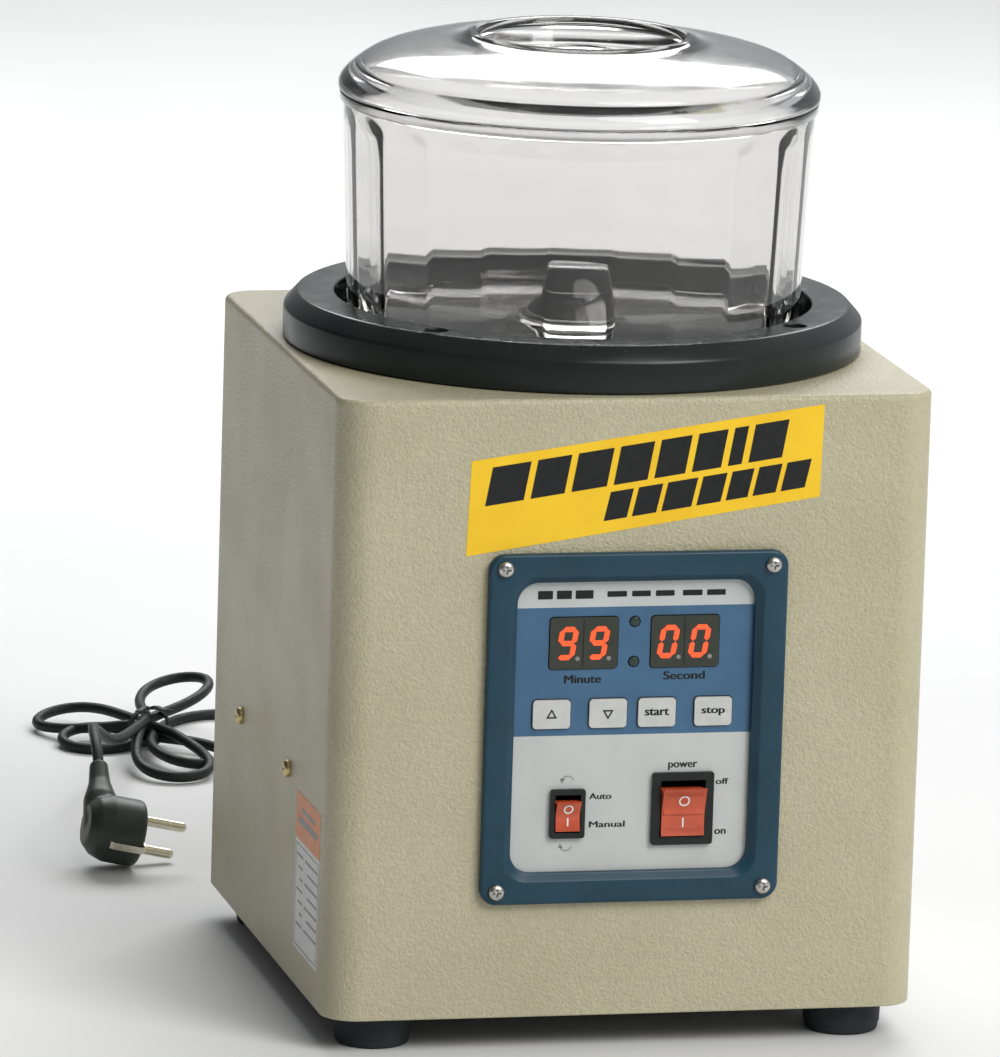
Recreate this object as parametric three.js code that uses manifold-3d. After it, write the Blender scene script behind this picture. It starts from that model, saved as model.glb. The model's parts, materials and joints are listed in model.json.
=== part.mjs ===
// Magnetic pin tumbler: a square painted steel housing on four rubber feet, with a clear lidded bowl
// in a round collar on top, a magnet disc that a motor spins under the bowl, and a control panel.
// Millimetres, +Z up. The origin is on the floor under the middle of the machine with its panel; the
// front faces -Y.
import * as THREE from 'three';
import { mergeVertices } from 'three/addons/utils/BufferGeometryUtils.js';
import Module from 'manifold-3d';

const wasm = await Module();
wasm.setup();

// ---- driving dimensions -------------------------------------------------------------------------
const GAP = 0.3; // between parts that touch
// The panel stands proud of the front wall; this brings the middle of the whole over the origin.
const centreShift = 3.3;
const body = { width: 255, depth: 257, bottom: 15, top: 278.5, sheet: 1.5, corner: 15 };
const flange = { reach: 38, sheet: 1.5, length: 220 }; // inward lips that carry the base plate
const basePlate = { sheet: 2 };
const foot = { x: 102, y: 103, top: 16.8, bottom: 15.6, boreRadius: 2.6, recessRadius: 6.2, recess: 7 };
const collar = { radius: 123.5, height: 20, wall: 13.8, faceRadius: 117.2, seatRadius: 101.8, floor: 4.2 };
const collarScrew = { at: 77.4, holeRadius: 5, recess: 6.5 };
const bowl = { baseRadius: 96.2, rimRadius: 100.6, height: 102.2, wall: 4, floor: 5, lip: 4, lipOut: 1.3 };
const hump = { radius: 25, topRadius: 9, height: 24 }; // hollow-looking rise in the bowl's floor
const lid = { radius: 102.5, thickness: 3, skirt: 6, wellRadius: 43.4, lipRadius: 49.4, bossRadius: 20.5 };
const panel = { z: 139, width: 128, height: 149.5, corner: 7, proud: 4 };
const plate = { depth: 2, sheet: 1.5, openWidth: 102, openHeight: 124, openCorner: 9 };
const board = { width: 112, height: 62, depth: 14, sheet: 1.6, z: 23 };
const display = { x: 21.7, z: 35.6, width: 29.2, height: 22 };
const lampDots = { radius: 2.3, z: [44.3, 27.2] };
const key = { width: 16, height: 12.2, corner: 1.6, z: 5.5, xs: [-34.7, -10.5, 10.5, 34.7], proud: 1.2 };
const modeSwitch = { x: -26.6, z: -37.1, width: 15, height: 21, rockerWidth: 10.3, rockerHeight: 13, rise: 5 };
const powerSwitch = { x: 22.8, z: -35.9, width: 26.5, height: 31, rockerWidth: 18.5, rockerHeight: 21, rise: 6.2 };
const rockerTilt = THREE.MathUtils.degToRad(10); // each way from level
const motor = { radius: 52, bellRadius: 46, bottom: 113.3, top: 226, shaftRadius: 6, shaftTop: 266 };
const bracket = { z: 110, sheet: 3, front: -58, back: 72, drop: 15 };
const sideScrew = { ys: [-43.2, 56.9], z: 104 };
const magnetDisc = { radius: 92, bottom: 260, thickness: 10, pitchRadius: 68, count: 6 };
const magnet = { radius: 12.5, height: 8, stand: 2 };
const gland = { x: 40, z: 40, length: 34, flangeRadius: 9.5, rootRadius: 6, tipRadius: 3.4 };
const cord = { radius: 2.5, sides: 8 };
const plug = { centre: [-153.8, 209.2, 17.6], faceRadius: 15.2, length: 25, pinRadius: 2.4, pinLength: 19, pitch: 19 };
const vents = { count: 6, width: 84, height: 4, pitch: 10, z: 196 };

const frontY = -body.depth / 2;
const backY = body.depth / 2;
const collarBottom = body.top + GAP;
const collarTop = body.top + collar.height;
const bowlBottom = collarBottom + collar.floor + GAP;
const bowlRim = bowlBottom + bowl.height;
const lidBottom = bowlRim + GAP;

// ---- materials ----------------------------------------------------------------------------------
const finish = (color, roughness, metalness = 0, extra = {}) =>
  new THREE.MeshStandardMaterial({ color, roughness, metalness, ...extra });
const clear = { transparent: true, opacity: 0.3 };
const paint = finish(0xb3aa97, 0.55);
const darkPaint = finish(0x45433f, 0.6);
const rubber = finish(0x161616, 0.85);
const blackDisc = finish(0x1b201f, 0.35);
const acrylic = finish(0xe6e9ea, 0.05, 0, clear);
const bezelBlue = finish(0x1d4a63, 0.45);
const overlay = finish(0x37659c, 0.4);
const darkWindow = finish(0x2a2c26, 0.2);
const keyGrey = finish(0xcfd4d6, 0.45);
const blackPlastic = finish(0x141414, 0.4);
const redRocker = finish(0xd8391f, 0.3);
const nickel = finish(0xc9c6bd, 0.25, 1);
const brassy = finish(0xb9a46a, 0.35, 1);
const castAlloy = finish(0x8d9093, 0.5, 0.8);
const magnetNickel = finish(0xb8bcc0, 0.2, 1);
const circuitGreen = finish(0x1f6b3a, 0.5);
const coreSteel = finish(0x55524d, 0.6, 0.6);
const cordBlack = finish(0x17211d, 0.6);

// ---- geometry helpers ---------------------------------------------------------------------------
function toSolid(geometry) {
  const bare = geometry.clone();
  bare.deleteAttribute('normal');
  bare.deleteAttribute('uv');
  const merged = mergeVertices(bare, 1e-4);
  const index = Array.from(merged.index.array);
  const triangles = [];
  for (let i = 0; i < index.length; i += 3) {
    const [a, b, c] = index.slice(i, i + 3);
    if (a !== b && b !== c && c !== a) triangles.push(a, b, c);
  }
  const vertProperties = Float32Array.from(merged.attributes.position.array);
  const build = () =>
    new wasm.Manifold(new wasm.Mesh({ numProp: 3, vertProperties, triVerts: Uint32Array.from(triangles) }));
  let result = build();
  if (result.volume() < 0) {
    for (let i = 0; i < triangles.length; i += 3) {
      [triangles[i], triangles[i + 1]] = [triangles[i + 1], triangles[i]];
    }
    result = build();
  }
  return result;
}

function toGeometry(manifold) {
  const mesh = manifold.getMesh();
  const geometry = new THREE.BufferGeometry();
  geometry.setAttribute('position', new THREE.BufferAttribute(new Float32Array(mesh.vertProperties), 3));
  geometry.setIndex(new THREE.BufferAttribute(new Uint32Array(mesh.triVerts), 1));
  geometry.computeVertexNormals();
  return geometry;
}

const joined = (...manifolds) => manifolds.reduce((sum, next) => sum.add(next));
const cut = (from, ...tools) => tools.reduce((rest, tool) => rest.subtract(tool), from);

function box(x0, x1, y0, y1, z0, z1) {
  const geometry = new THREE.BoxGeometry(x1 - x0, y1 - y0, z1 - z0);
  return toSolid(geometry.translate((x0 + x1) / 2, (y0 + y1) / 2, (z0 + z1) / 2));
}

function roundedRectangle(width, height, radius, cx = 0, cy = 0) {
  const [x, y] = [width / 2 - radius, height / 2 - radius];
  const shape = new THREE.Shape();
  shape.absarc(cx + x, cy + y, radius, 0, Math.PI / 2);
  shape.absarc(cx - x, cy + y, radius, Math.PI / 2, Math.PI);
  shape.absarc(cx - x, cy - y, radius, Math.PI, 1.5 * Math.PI);
  shape.absarc(cx + x, cy - y, radius, 1.5 * Math.PI, 2 * Math.PI);
  return shape;
}

// A shape drawn in X and Y, standing from z0 to z1.
function uprightPrism(shape, z0, z1, curveSegments = 5) {
  const geometry = new THREE.ExtrudeGeometry(shape, { depth: z1 - z0, bevelEnabled: false, curveSegments });
  return toSolid(geometry.translate(0, 0, z0));
}

// A shape drawn in X and Z, running from y0 back to y1.
function frontPrism(shape, y0, y1, curveSegments = 4) {
  const geometry = new THREE.ExtrudeGeometry(shape, { depth: y1 - y0, bevelEnabled: false, curveSegments });
  return toSolid(geometry.rotateX(Math.PI / 2).translate(0, y1, 0));
}

// A profile of [radius, z] points turned about the Z axis.
function turned(profile, segments = 24) {
  const points = profile.map(([r, z]) => new THREE.Vector2(r, z));
  return toSolid(new THREE.LatheGeometry(points, segments).rotateX(Math.PI / 2));
}

// A turned profile whose axis is moved to run from a point along a direction.
function turnedAlong(profile, from, direction, segments = 12) {
  const points = profile.map(([r, z]) => new THREE.Vector2(r, z));
  const geometry = new THREE.LatheGeometry(points, segments);
  const turn = new THREE.Quaternion().setFromUnitVectors(
    new THREE.Vector3(0, 1, 0), new THREE.Vector3(...direction).normalize());
  geometry.applyQuaternion(turn);
  return toSolid(geometry.translate(...from));
}

const rod = (radius, length) => [[0, 0], [radius, 0], [radius, length], [0, length]];
const drill = (radius, from, direction, length, segments = 8) =>
  turnedAlong(rod(radius, length), from, direction, segments);

function addPart(parent, name, solid, material, position = [0, 0, 0]) {
  const mesh = new THREE.Mesh(toGeometry(solid), material);
  mesh.name = name;
  mesh.position.set(...position);
  parent.add(mesh);
  return mesh;
}

const corners = [[-1, -1], [1, -1], [1, 1], [-1, 1]];
const machine = new THREE.Group();
machine.position.y = centreShift;

// ---- housing, base plate and feet ---------------------------------------------------------------
function housingShell() {
  const { width, depth, bottom, top, sheet, corner } = body;
  const outer = uprightPrism(roundedRectangle(width, depth, corner), bottom, top);
  const inner = uprightPrism(
    roundedRectangle(width - 2 * sheet, depth - 2 * sheet, corner - sheet), bottom - 1, top - sheet);
  const discOpening = drill(104, [0, 0, top - 5], [0, 0, 1], 10, 40);
  const panelOpening = frontPrism(roundedRectangle(107, 129, 6, 0, panel.z), frontY - 1, frontY + 3);
  let shell = cut(outer, inner, discOpening, panelOpening);
  const lipZ = bottom + basePlate.sheet + GAP;
  for (const side of [-1, 1]) {
    const wall = side * (width / 2 - sheet / 2);
    const tip = side * (width / 2 - flange.reach);
    shell = shell.add(box(Math.min(wall, tip), Math.max(wall, tip),
      -flange.length / 2, flange.length / 2, lipZ, lipZ + flange.sheet));
    for (const y of sideScrew.ys) {
      shell = shell.subtract(drill(2.3, [side * (width / 2 + 1), y, sideScrew.z], [-side, 0, 0], 4));
    }
  }
  for (const [sx, sy] of corners) {
    const [x, y] = [sx * foot.x, sy * foot.y];
    shell = shell.subtract(drill(2.5, [x, y, bottom + 1], [0, 0, 1], 6));
    shell = shell.subtract(drill(2.3, [sx * collarScrew.at, sy * collarScrew.at, top - 4], [0, 0, 1], 6));
    shell = shell.subtract(drill(2.3, [sx * 57.3, frontY - 1, panel.z + sy * 68.8], [0, 1, 0], 4));
  }
  for (let i = 0; i < vents.count; i += 1) {
    const z = vents.z + (i - (vents.count - 1) / 2) * vents.pitch;
    const slot = roundedRectangle(vents.width, vents.height, vents.height / 2, 0, z);
    shell = shell.subtract(frontPrism(slot, backY - 3, backY + 1, 3));
  }
  return shell.subtract(drill(gland.rootRadius + GAP + 0.2, [gland.x, backY - 3, gland.z], [0, 1, 0], 5, 16));
}
addPart(machine, 'housing_shell', housingShell(), paint);

function baseSheet() {
  const inset = 2 * (body.sheet + GAP);
  const outline = roundedRectangle(body.width - inset, body.depth - inset, body.corner - body.sheet - GAP);
  const holes = corners.map(([sx, sy]) =>
    drill(2.5, [sx * foot.x, sy * foot.y, body.bottom - 1], [0, 0, 1], 4));
  return cut(uprightPrism(outline, body.bottom, body.bottom + basePlate.sheet), ...holes);
}
addPart(machine, 'base_plate', baseSheet(), darkPaint);

const footTop = body.bottom - GAP;
const footProfile = [
  [foot.boreRadius, foot.recess], [foot.recessRadius, foot.recess], [foot.recessRadius, 0],
  [foot.bottom - 1, 0], [foot.bottom, 1], [foot.top, footTop], [foot.boreRadius, footTop],
  [foot.boreRadius, foot.recess],
];
const footScrewProfile = [
  [0, foot.recess - 3.2], [4, foot.recess - 3.2], [4.2, foot.recess - GAP], [2.2, foot.recess - GAP],
  [2.2, 25], [0, 25],
];
corners.forEach(([sx, sy], i) => {
  const place = [sx * foot.x, sy * foot.y, 0];
  addPart(machine, `foot_${i + 1}`, turned(footProfile, 16), rubber, place);
  addPart(machine, `foot_screw_${i + 1}`, turned(footScrewProfile, 8), nickel, place);
});

// ---- collar, bowl and lid -----------------------------------------------------------------------
function collarDisc() {
  const seatFloor = collarBottom + collar.floor;
  const disc = turned([
    [0, collarBottom], [collar.radius, collarBottom], [collar.radius, body.top + collar.wall],
    [collar.faceRadius, collarTop], [collar.seatRadius, collarTop], [collar.seatRadius, seatFloor], [0, seatFloor],
  ], 52);
  const holes = corners.flatMap(([sx, sy]) => {
    const [x, y] = [sx * collarScrew.at, sy * collarScrew.at];
    return [
      drill(collarScrew.holeRadius, [x, y, collarTop - collarScrew.recess], [0, 0, 1], 10, 12),
      drill(2.3, [x, y, collarBottom - 1], [0, 0, 1], 18),
    ];
  });
  return cut(disc, ...holes);
}
addPart(machine, 'collar', collarDisc(), blackDisc);

const collarScrewHead = collarTop - collarScrew.recess + GAP;
const collarScrewProfile = [
  [0, body.top - 9], [2, body.top - 9], [2, collarScrewHead], [4.3, collarScrewHead],
  [4.1, collarScrewHead + 2.2], [2.6, collarScrewHead + 3], [0, collarScrewHead + 3],
];
corners.forEach(([sx, sy], i) => {
  const place = [sx * collarScrew.at, sy * collarScrew.at, 0];
  addPart(machine, `collar_screw_${i + 1}`, turned(collarScrewProfile, 10), nickel, place);
});

function bowlProfile() {
  const { baseRadius, rimRadius, wall, floor, lip, lipOut } = bowl;
  const floorTop = bowlBottom + floor;
  const outerAt = (z) => baseRadius + (rimRadius - baseRadius) * (z - bowlBottom) / (bowlRim - bowlBottom);
  return [
    [0, bowlBottom], [baseRadius - 5, bowlBottom], [baseRadius - 1.5, bowlBottom + 1.5],
    [outerAt(bowlBottom + 5), bowlBottom + 5], [outerAt(bowlRim - lip), bowlRim - lip],
    [rimRadius + lipOut, bowlRim - lip + 0.6], [rimRadius + lipOut, bowlRim], [rimRadius - wall, bowlRim],
    [outerAt(floorTop + 6) - wall, floorTop + 6], [outerAt(floorTop) - wall - 5, floorTop],
    [hump.radius, floorTop], [hump.topRadius + 6, floorTop + hump.height * 0.7],
    [hump.topRadius, floorTop + hump.height * 0.96], [0, floorTop + hump.height],
  ];
}
addPart(machine, 'bowl', turned(bowlProfile(), 40), acrylic);

// The outside of the dome as [radius, height over the lid's lower face], from the rim to the well's lip.
const dome = [
  [lid.radius, 0], [lid.radius, 3.4], [100.2, 6.9], [96, 10.8], [89, 15.5], [79, 19.1], [65, 21.9], [lid.lipRadius, 24.1],
];
function lidProfile() {
  const well = 24.1;
  const inside = dome.slice(3).map(([r, h]) => [r - lid.thickness * 0.7, h - lid.thickness]).reverse();
  const wellFloor = well - 10;
  return [
    ...dome, [lid.lipRadius - 1.6, well + 1.6], [lid.wellRadius + 1.8, well + 1.6], [lid.wellRadius, well],
    [lid.wellRadius - 1, wellFloor], [lid.bossRadius, wellFloor], [lid.bossRadius - 1, wellFloor + 4],
    [0, wellFloor + 4], [0, wellFloor - lid.thickness], [lid.wellRadius + 1.2, wellFloor - lid.thickness],
    [lid.lipRadius - 2.4, well - lid.thickness], ...inside.slice(1),
    [93.4, -lid.skirt], [96, -lid.skirt], [96, 0],
  ].map(([r, h]) => [r, h + lidBottom]);
}
const lidOutline = lidProfile();
addPart(machine, 'lid', turned([...lidOutline, lidOutline[0]], 40), acrylic);

// ---- control panel ------------------------------------------------------------------------------
// Inside the panel group, X and Z run from the panel's centre and Y from the housing's front face.
const controls = new THREE.Group();
controls.position.set(0, frontY, panel.z);
machine.add(controls);

const opening = roundedRectangle(plate.openWidth, plate.openHeight, plate.openCorner);
function bezelFrame() {
  const face = frontPrism(roundedRectangle(panel.width, panel.height, panel.corner), -panel.proud, -GAP);
  const tray = frontPrism(roundedRectangle(106.4, 128.4, 9.5), -1, plate.depth - GAP);
  const window = frontPrism(opening, -panel.proud - 1, plate.depth + 1);
  const holes = corners.map(([sx, sz]) => drill(2.3, [sx * 57.3, -6, sz * 68.8], [0, 1, 0], 8));
  return cut(joined(face, tray), window, ...holes);
}
addPart(controls, 'panel_bezel', bezelFrame(), bezelBlue);

const plateBack = plate.depth + plate.sheet;
const through = (shape) => frontPrism(shape, plate.depth - 1, plateBack + 1, 2);
function facePlate() {
  const slab = frontPrism(roundedRectangle(124, 146, 4), plate.depth, plateBack);
  const windows = [-1, 1].map((side) =>
    through(roundedRectangle(display.width + 0.6, display.height + 0.6, 1.8, side * display.x, display.z)));
  const dots = lampDots.z.map((z) => drill(lampDots.radius + GAP, [0, 1, z], [0, 1, 0], 4));
  const keys = key.xs.map((x) => through(roundedRectangle(key.width + 0.7, key.height + 0.7, 1.9, x, key.z)));
  const switches = [modeSwitch, powerSwitch].map(({ x, z, width, height }) =>
    through(roundedRectangle(width - 1.6, height - 1.6, 0.5, x, z)));
  const holes = corners.map(([sx, sz]) => drill(2.3, [sx * 57.3, 1, sz * 68.8], [0, 1, 0], 4));
  return cut(slab, ...windows, ...dots, ...keys, ...switches, ...holes);
}
addPart(controls, 'face_plate', facePlate(), overlay);

const bezelScrewProfile = [
  [0, 8], [1.9, 8], [1.9, -GAP], [3.5, -GAP], [3.4, -1.4], [2.4, -2.3], [0, -2.6],
].reverse();
corners.forEach(([sx, sz], i) => {
  const solid = turnedAlong(bezelScrewProfile, [0, 0, 0], [0, 1, 0], 10);
  addPart(controls, `bezel_screw_${i + 1}`, solid, nickel, [sx * 57.3, -panel.proud, sz * 68.8]);
});

const boardFront = board.depth;
addPart(controls, 'circuit_board',
  frontPrism(roundedRectangle(board.width, board.height, 2, 0, board.z), boardFront, boardFront + board.sheet),
  circuitGreen);
[['display_minutes', -1], ['display_seconds', 1]].forEach(([name, side]) => {
  const block = frontPrism(
    roundedRectangle(display.width, display.height, 1.5, 0, 0), plate.depth - 0.6, boardFront - GAP);
  addPart(controls, name, block, darkWindow, [side * display.x, 0, display.z]);
});
lampDots.z.forEach((z, i) => {
  const lamp = drill(lampDots.radius, [0, plate.depth - 0.4, z], [0, 1, 0], boardFront - GAP - plate.depth + 0.4);
  addPart(controls, `timer_lamp_${i + 1}`, lamp, darkWindow);
});

const keyNames = ['button_up', 'button_down', 'button_start', 'button_stop'];
keyNames.forEach((name, i) => {
  const cap = frontPrism(roundedRectangle(key.width, key.height, key.corner), plate.depth - key.proud, 6.5);
  const stem = frontPrism(roundedRectangle(6, 6, 1), 6, boardFront - 1.1, 2);
  addPart(controls, name, joined(cap, stem), keyGrey, [key.xs[i], 0, key.z]);
});

function switchFrame({ width, height, rockerWidth, rockerHeight }) {
  const face = frontPrism(roundedRectangle(width, height, 1.2), 0, plate.depth - GAP, 3);
  const can = frontPrism(roundedRectangle(width - 2.4, height - 2.4, 0.4), 1, 20, 1);
  const pocketWidth = rockerWidth + 0.8;
  const pocketHeight = rockerHeight + 3.2;
  const pocket = box(-pocketWidth / 2, pocketWidth / 2, -1, 13, -pocketHeight / 2, pocketHeight / 2);
  return cut(joined(face, can), pocket);
}

// A rocker's side view as [forward, up], with its pivot at the origin; the face is a shallow V.
function rockerSolid({ rockerWidth, rockerHeight, rise }) {
  const half = rockerHeight / 2;
  const side = new THREE.Shape();
  side.moveTo(rise, half);
  side.quadraticCurveTo(rise - 1.7, half * 0.35, rise - 1.9, 0);
  side.quadraticCurveTo(rise - 1.7, -half * 0.35, rise, -half);
  side.lineTo(rise - 1.6, -half);
  side.absarc(0, 0, half * 0.82, -1.1, -2.2, true);
  side.absarc(0, 0, half * 0.82, 2.2, 1.1, true);
  side.lineTo(rise - 1.6, half);
  const options = { depth: rockerWidth, bevelEnabled: false, curveSegments: 4 };
  const geometry = new THREE.ExtrudeGeometry(side, options).translate(0, 0, -rockerWidth / 2);
  const axes = new THREE.Matrix4().makeBasis(
    new THREE.Vector3(0, -1, 0), new THREE.Vector3(0, 0, 1), new THREE.Vector3(-1, 0, 0));
  return toSolid(geometry.applyMatrix4(axes));
}

const pivotDepth = 3;
[['mode', modeSwitch], ['power', powerSwitch]].forEach(([name, size]) => {
  addPart(controls, `${name}_switch_frame`, switchFrame(size), blackPlastic, [size.x, 0, size.z]);
  const rocker = addPart(controls, `${name}_rocker`, rockerSolid(size), redRocker, [size.x, pivotDepth, size.z]);
  rocker.rotation.x = rockerTilt;
});

// ---- drive: bracket, motor, magnet disc ---------------------------------------------------------
function motorBracket() {
  const { z, sheet, front, back, drop } = bracket;
  const edge = body.width / 2 - body.sheet - GAP;
  let channel = joined(
    box(-edge, edge, front, back, z, z + sheet),
    box(-edge, -edge + sheet, front, back, z - drop, z + 1),
    box(edge - sheet, edge, front, back, z - drop, z + 1));
  for (const y of sideScrew.ys) {
    channel = channel.subtract(drill(2.3, [-edge - 1, y, sideScrew.z], [1, 0, 0], 2 * edge + 2));
  }
  return channel;
}
addPart(machine, 'motor_bracket', motorBracket(), castAlloy);

const sideScrewProfile = [
  [0, 11], [2, 11], [2, -GAP], [4, -GAP], [3.9, -1.5], [2.7, -2.5], [0, -2.8],
].reverse();
[['left', -1], ['right', 1]].forEach(([name, side]) => {
  sideScrew.ys.forEach((y, i) => {
    const solid = turnedAlong(sideScrewProfile, [0, 0, 0], [-side, 0, 0], 10);
    addPart(machine, `side_screw_${name}_${i + 1}`, solid, brassy, [side * body.width / 2, y, sideScrew.z]);
  });
});

const shaftFoot = motor.bottom + 30;
const motorProfile = [
  [0, motor.bottom], [motor.bellRadius - 4, motor.bottom], [motor.bellRadius, motor.bottom + 5],
  [motor.bellRadius, motor.bottom + 16], [motor.radius, motor.bottom + 16], [motor.radius, motor.top - 18],
  [motor.bellRadius, motor.top - 18], [motor.bellRadius, motor.top - 5], [motor.bellRadius - 4, motor.top],
  [motor.shaftRadius + 0.05, motor.top], [motor.shaftRadius + 0.05, shaftFoot - GAP], [0, shaftFoot - GAP],
];
addPart(machine, 'motor_body', turned(motorProfile, 24), castAlloy);

const rotor = new THREE.Group();
machine.add(rotor);
addPart(rotor, 'motor_shaft', turned([
  [0, shaftFoot], [motor.shaftRadius, shaftFoot], [motor.shaftRadius, motor.shaftTop], [0, motor.shaftTop],
], 24), nickel);

function discSolid() {
  const { radius, bottom, thickness, pitchRadius, count } = magnetDisc;
  const bore = motor.shaftRadius + GAP;
  const top = bottom + thickness;
  const ring = [
    [bore, bottom - 18], [20, bottom - 18], [20, bottom], [radius, bottom], [radius, top], [bore, top],
    [bore, bottom - 18],
  ];
  const pockets = Array.from({ length: count }, (_, i) => {
    const angle = (i * 2 * Math.PI) / count;
    const place = [pitchRadius * Math.cos(angle), pitchRadius * Math.sin(angle), top - magnet.height + magnet.stand];
    return drill(magnet.radius + GAP, place, [0, 0, 1], 12, 14);
  });
  return cut(turned(ring, 36), ...pockets);
}
addPart(rotor, 'magnet_disc', discSolid(), castAlloy);
for (let i = 0; i < magnetDisc.count; i += 1) {
  const angle = (i * 2 * Math.PI) / magnetDisc.count;
  const seat = magnetDisc.bottom + magnetDisc.thickness - magnet.height + magnet.stand + GAP;
  addPart(rotor, `magnet_${i + 1}`, turned(rod(magnet.radius, magnet.height), 14), magnetNickel,
    [magnetDisc.pitchRadius * Math.cos(angle), magnetDisc.pitchRadius * Math.sin(angle), seat]);
}

// A small mains transformer for the controls: a laminated core with its winding, on the base plate.
const coreX = -60;
const coreZ = body.bottom + basePlate.sheet + GAP;
addPart(machine, 'transformer', joined(
  box(coreX - 27, coreX + 27, -30, -8, coreZ, coreZ + 46),
  box(coreX - 14, coreX + 14, -42, 4, coreZ + 9, coreZ + 37)), coreSteel);

// ---- mains cord ---------------------------------------------------------------------------------
const glandProfile = [
  [0, -6], [gland.rootRadius, -6], [gland.rootRadius, GAP], [gland.flangeRadius, GAP], [gland.flangeRadius, 3],
  [gland.rootRadius, 4], [gland.tipRadius, gland.length], [0, gland.length],
];
addPart(machine, 'strain_relief', turnedAlong(glandProfile, [gland.x, backY, gland.z], [0, 1, 0], 16), cordBlack);

// Down to the floor behind the housing and round to the hank.
const leadRoute = [
  [40, 162.8, 40], [40, 174, 39], [40, 190, 34.5], [39.5, 207, 26], [39, 224, 15], [38, 240, 7], [36, 257, 3.4],
  [32, 280, 2.6], [26, 310, 2.6], [19, 342, 2.6], [13, 375, 2.6], [8, 405, 2.6], [1, 435, 2.6], [-9, 464, 2.6],
  [-24, 487, 2.6], [-43, 499, 2.6], [-52, 500, 2.6],
];
// From the hank to the plug's cable entry.
const plugRoute = [
  [-127.5, 362, 22], [-134, 341, 30], [-140, 320, 38], [-145.5, 298, 45.5], [-149.5, 279, 50], [-152, 263, 50.5],
  [-153.6, 251, 47.5], [-154.3, 243, 43.4],
];
const hankOutline = [
  [-54, 504], [-54, 496], [-58, 470], [-56, 430], [-50, 396], [-56, 362], [-72, 344], [-92, 338], [-112, 350],
  [-130, 377], [-143, 405], [-147, 440], [-146, 470], [-140, 490], [-128, 500], [-108, 504], [-80, 505.5],
];

function tube(route, steps) {
  const path = new THREE.CatmullRomCurve3(route.map((p) => new THREE.Vector3(...p)), false, 'centripetal');
  const section = new THREE.Shape();
  for (let i = 0; i < cord.sides; i += 1) {
    const angle = ((i + 0.5) * 2 * Math.PI) / cord.sides;
    const point = [cord.radius * Math.cos(angle), cord.radius * Math.sin(angle)];
    if (i === 0) section.moveTo(...point);
    else section.lineTo(...point);
  }
  return toSolid(new THREE.ExtrudeGeometry(section, { steps, extrudePath: path, bevelEnabled: false }));
}
addPart(machine, 'cord_tube', tube(leadRoute, 30), cordBlack);
addPart(machine, 'cord_lead', tube(plugRoute, 14), cordBlack);
const hankShape = new THREE.Shape(hankOutline.map((p) => new THREE.Vector2(...p)));
addPart(machine, 'cord_hank', uprightPrism(hankShape, 0.1, 26), cordBlack);

// The plug lies on the rim of its face, with its cable entry pointing up and back.
const plugAxis = new THREE.Vector3(0.9775, 0.0256, -0.2092).normalize();
const entryAxis = new THREE.Vector3(0.1039, 0.8049, 0.5842).normalize();
const pinLine = new THREE.Vector3().crossVectors(plugAxis, entryAxis).normalize();
const plugPoint = (along, aside = 0) =>
  new THREE.Vector3(...plug.centre).addScaledVector(plugAxis, along).addScaledVector(pinLine, aside).toArray();
function plugBody() {
  const half = plug.length / 2;
  const shell = turnedAlong([
    [0, 0], [9, 0], [13, 4], [plug.faceRadius, 10], [plug.faceRadius, plug.length - 1],
    [plug.faceRadius - 1, plug.length], [0, plug.length],
  ], plugPoint(-half), plugAxis.toArray(), 20);
  const neck = turnedAlong([[0, 0], [8, 0], [7.4, 18], [3.9, 37], [0, 37]], plugPoint(-5), entryAxis.toArray(), 14);
  return joined(shell, neck);
}
addPart(machine, 'plug_body', plugBody(), cordBlack);
[-1, 1].forEach((side, i) => {
  const profile = [
    [0, 0], [plug.pinRadius, 0], [plug.pinRadius, plug.pinLength - 1.4], [plug.pinRadius - 1, plug.pinLength],
    [0, plug.pinLength],
  ];
  const root = plugPoint(plug.length / 2 + GAP, (side * plug.pitch) / 2);
  addPart(machine, `plug_pin_${i + 1}`, turnedAlong(profile, root, plugAxis.toArray(), 10), nickel);
});

export default machine;
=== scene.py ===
import json
from math import cos, hypot, pi, radians, sin, sqrt, tan

import bmesh
import bpy
from mathutils import Matrix, Vector
from mathutils.bvhtree import BVHTree

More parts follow.
